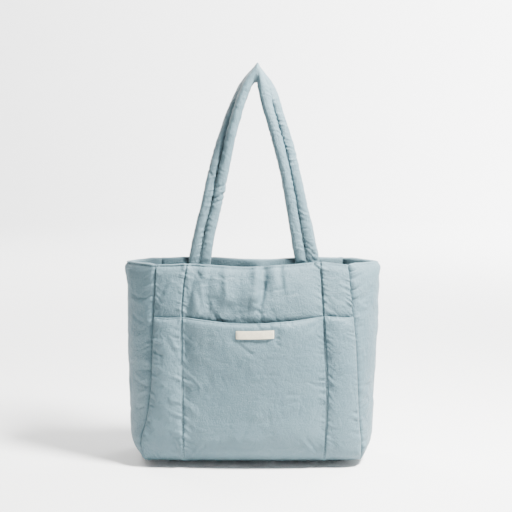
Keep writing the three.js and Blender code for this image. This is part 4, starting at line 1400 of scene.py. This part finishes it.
def woven_tape(name, dark, light):
    material, tree, shader, place, cloth = new_material(name, Roughness=0.8, Sheen_Weight=0.2)
    tree.links.new(ramp(tree, noise(tree, place, 300.0), dark, light), shader["Base Color"])
    ribs = wave(tree, cloth, "Y", 420.0, 0.3)
    warp = wave(tree, cloth, "X", 520.0, 0.3)
    normal = bump(tree, warp, 0.0001, 0.4, bump(tree, ribs, 0.00016, 0.6))
    tree.links.new(normal, shader["Normal"])
    return material


def thread_material(name, colour):
    material, tree, shader, place, _ = new_material(name, Roughness=0.6)
    twist = noise(tree, place, 1800.0, 2.0)
    tree.links.new(ramp(tree, twist, [c * 0.8 for c in colour], colour), shader["Base Color"])
    tree.links.new(bump(tree, twist, 0.0001, 0.5), shader["Normal"])
    return material


def floor_material(name, colour):
    material, tree, shader, place, _ = new_material(name, Roughness=0.85, Specular_IOR_Level=0.2)
    tone = noise(tree, place, 1.5, 2.0)
    tree.links.new(ramp(tree, tone, [c * 0.985 for c in colour], colour), shader["Base Color"])
    return material


nylon = crinkled_nylon("crinkled_nylon", (0.065, 0.115, 0.1385), (0.087, 0.144, 0.1675))
tape = woven_tape("woven_tape", (0.48, 0.44, 0.325), (0.57, 0.525, 0.395))
thread = thread_material("thread", (0.3, 0.4, 0.44))
pale_floor = floor_material("pale_floor", (0.72, 0.72, 0.72))


def dress(piece, material, node):
    piece.data.materials.append(material)
    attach(piece, "root")
    if node:
        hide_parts(node)


for piece, node, fill in ((front_wall, "front_panel", WALL_FILL), (back_wall, "back_panel", WALL_FILL),
                          (gusset_walls[0], "left_gusset", WALL_FILL),
                          (gusset_walls[1], "right_gusset", WALL_FILL),
                          (pocket_wall, "pocket_panel", WALL_FILL),
                          (base_wall, "base_panel", WALL_FILL),
                          (front_strap, "front_handle", HANDLE_FILL),
                          (back_strap, "back_handle", HANDLE_FILL)):
    dress(piece, nylon, node)
dress(label_piece, tape, "label")
dress(threads, thread, None)


# The pale floor, which curves up into a wall all round, far from the bag.
def studio_bowl(flat=4.2, bend=1.8, top=4.5, sides=96):
    profile = [(0.4, 0.0), (flat, 0.0)]
    for step in range(1, 13):
        angle = math.pi / 2 * step / 12
        profile.append((flat + bend * math.sin(angle), bend * (1 - math.cos(angle))))
    profile.append((flat + bend, top))
    points = [(0.0, 0.0, 0.0)]
    faces = []
    for k, (radius, z) in enumerate(profile):
        for side in range(sides):
            angle = 2 * math.pi * side / sides
            points.append((radius * math.cos(angle), radius * math.sin(angle), z))
            a = 1 + k * sides + side
            b = 1 + k * sides + (side + 1) % sides
            faces.append((0, a, b) if k == 0 else (a - sides, a, b, b - sides))
    bowl = link_mesh("studio_bowl", np.array(points) / MM, faces)
    bowl.data.materials.append(pale_floor)


studio_bowl()


def area_light(name, place, target, size, power, colour):
    data = bpy.data.lights.new(name, "AREA")
    data.shape = "DISK"
    data.size = size
    data.energy = power
    data.color = colour
    lamp = bpy.data.objects.new(name, data)
    lamp.location = place
    lamp.rotation_euler = (Vector(target) - Vector(place)).to_track_quat("-Z", "Y").to_euler()
    lamp.visible_camera = False
    bpy.context.scene.collection.objects.link(lamp)


def round_place(turn, height, away, aim):
    """A place at an angle to the right of the front, an angle up and a distance from the aim."""
    turn, height = math.radians(turn), math.radians(height)
    return (aim[0] + away * math.cos(height) * math.sin(turn),
            aim[1] - away * math.cos(height) * math.cos(turn),
            aim[2] + away * math.sin(height))


key_place = round_place(KEY_TURN, KEY_HEIGHT, KEY_AWAY, KEY_AIM)
area_light("key", key_place, KEY_AIM, KEY_SIZE, KEY_POWER, (1.0, 0.99, 0.97))
area_light("behind", (-1.7, 2.2, 2.4), (-0.6, 0.3, 0.0), 1.5, 160.0, (1.0, 0.985, 0.95))
area_light("back wall", (2.4, 2.2, 3.4), (2.2, 5.8, 0.8), 1.6, 1600.0, (1.0, 1.0, 1.0))

world = bpy.data.worlds.new("studio")
world.use_nodes = True
background = world.node_tree.nodes["Background"].inputs
background["Color"].default_value = (0.95, 0.97, 1.0, 1.0)
background["Strength"].default_value = WORLD_STRENGTH
bpy.context.scene.world = world

camera_data = bpy.data.cameras.new("camera")
camera_data.lens = CAMERA_LENS
camera_data.sensor_width = CAMERA_SENSOR
camera = bpy.data.objects.new("camera", camera_data)
camera.location = CAMERA_PLACE
camera.rotation_euler = (math.radians(90 - CAMERA_TILT), 0, 0)
bpy.context.scene.collection.objects.link(camera)
bpy.context.scene.camera = camera
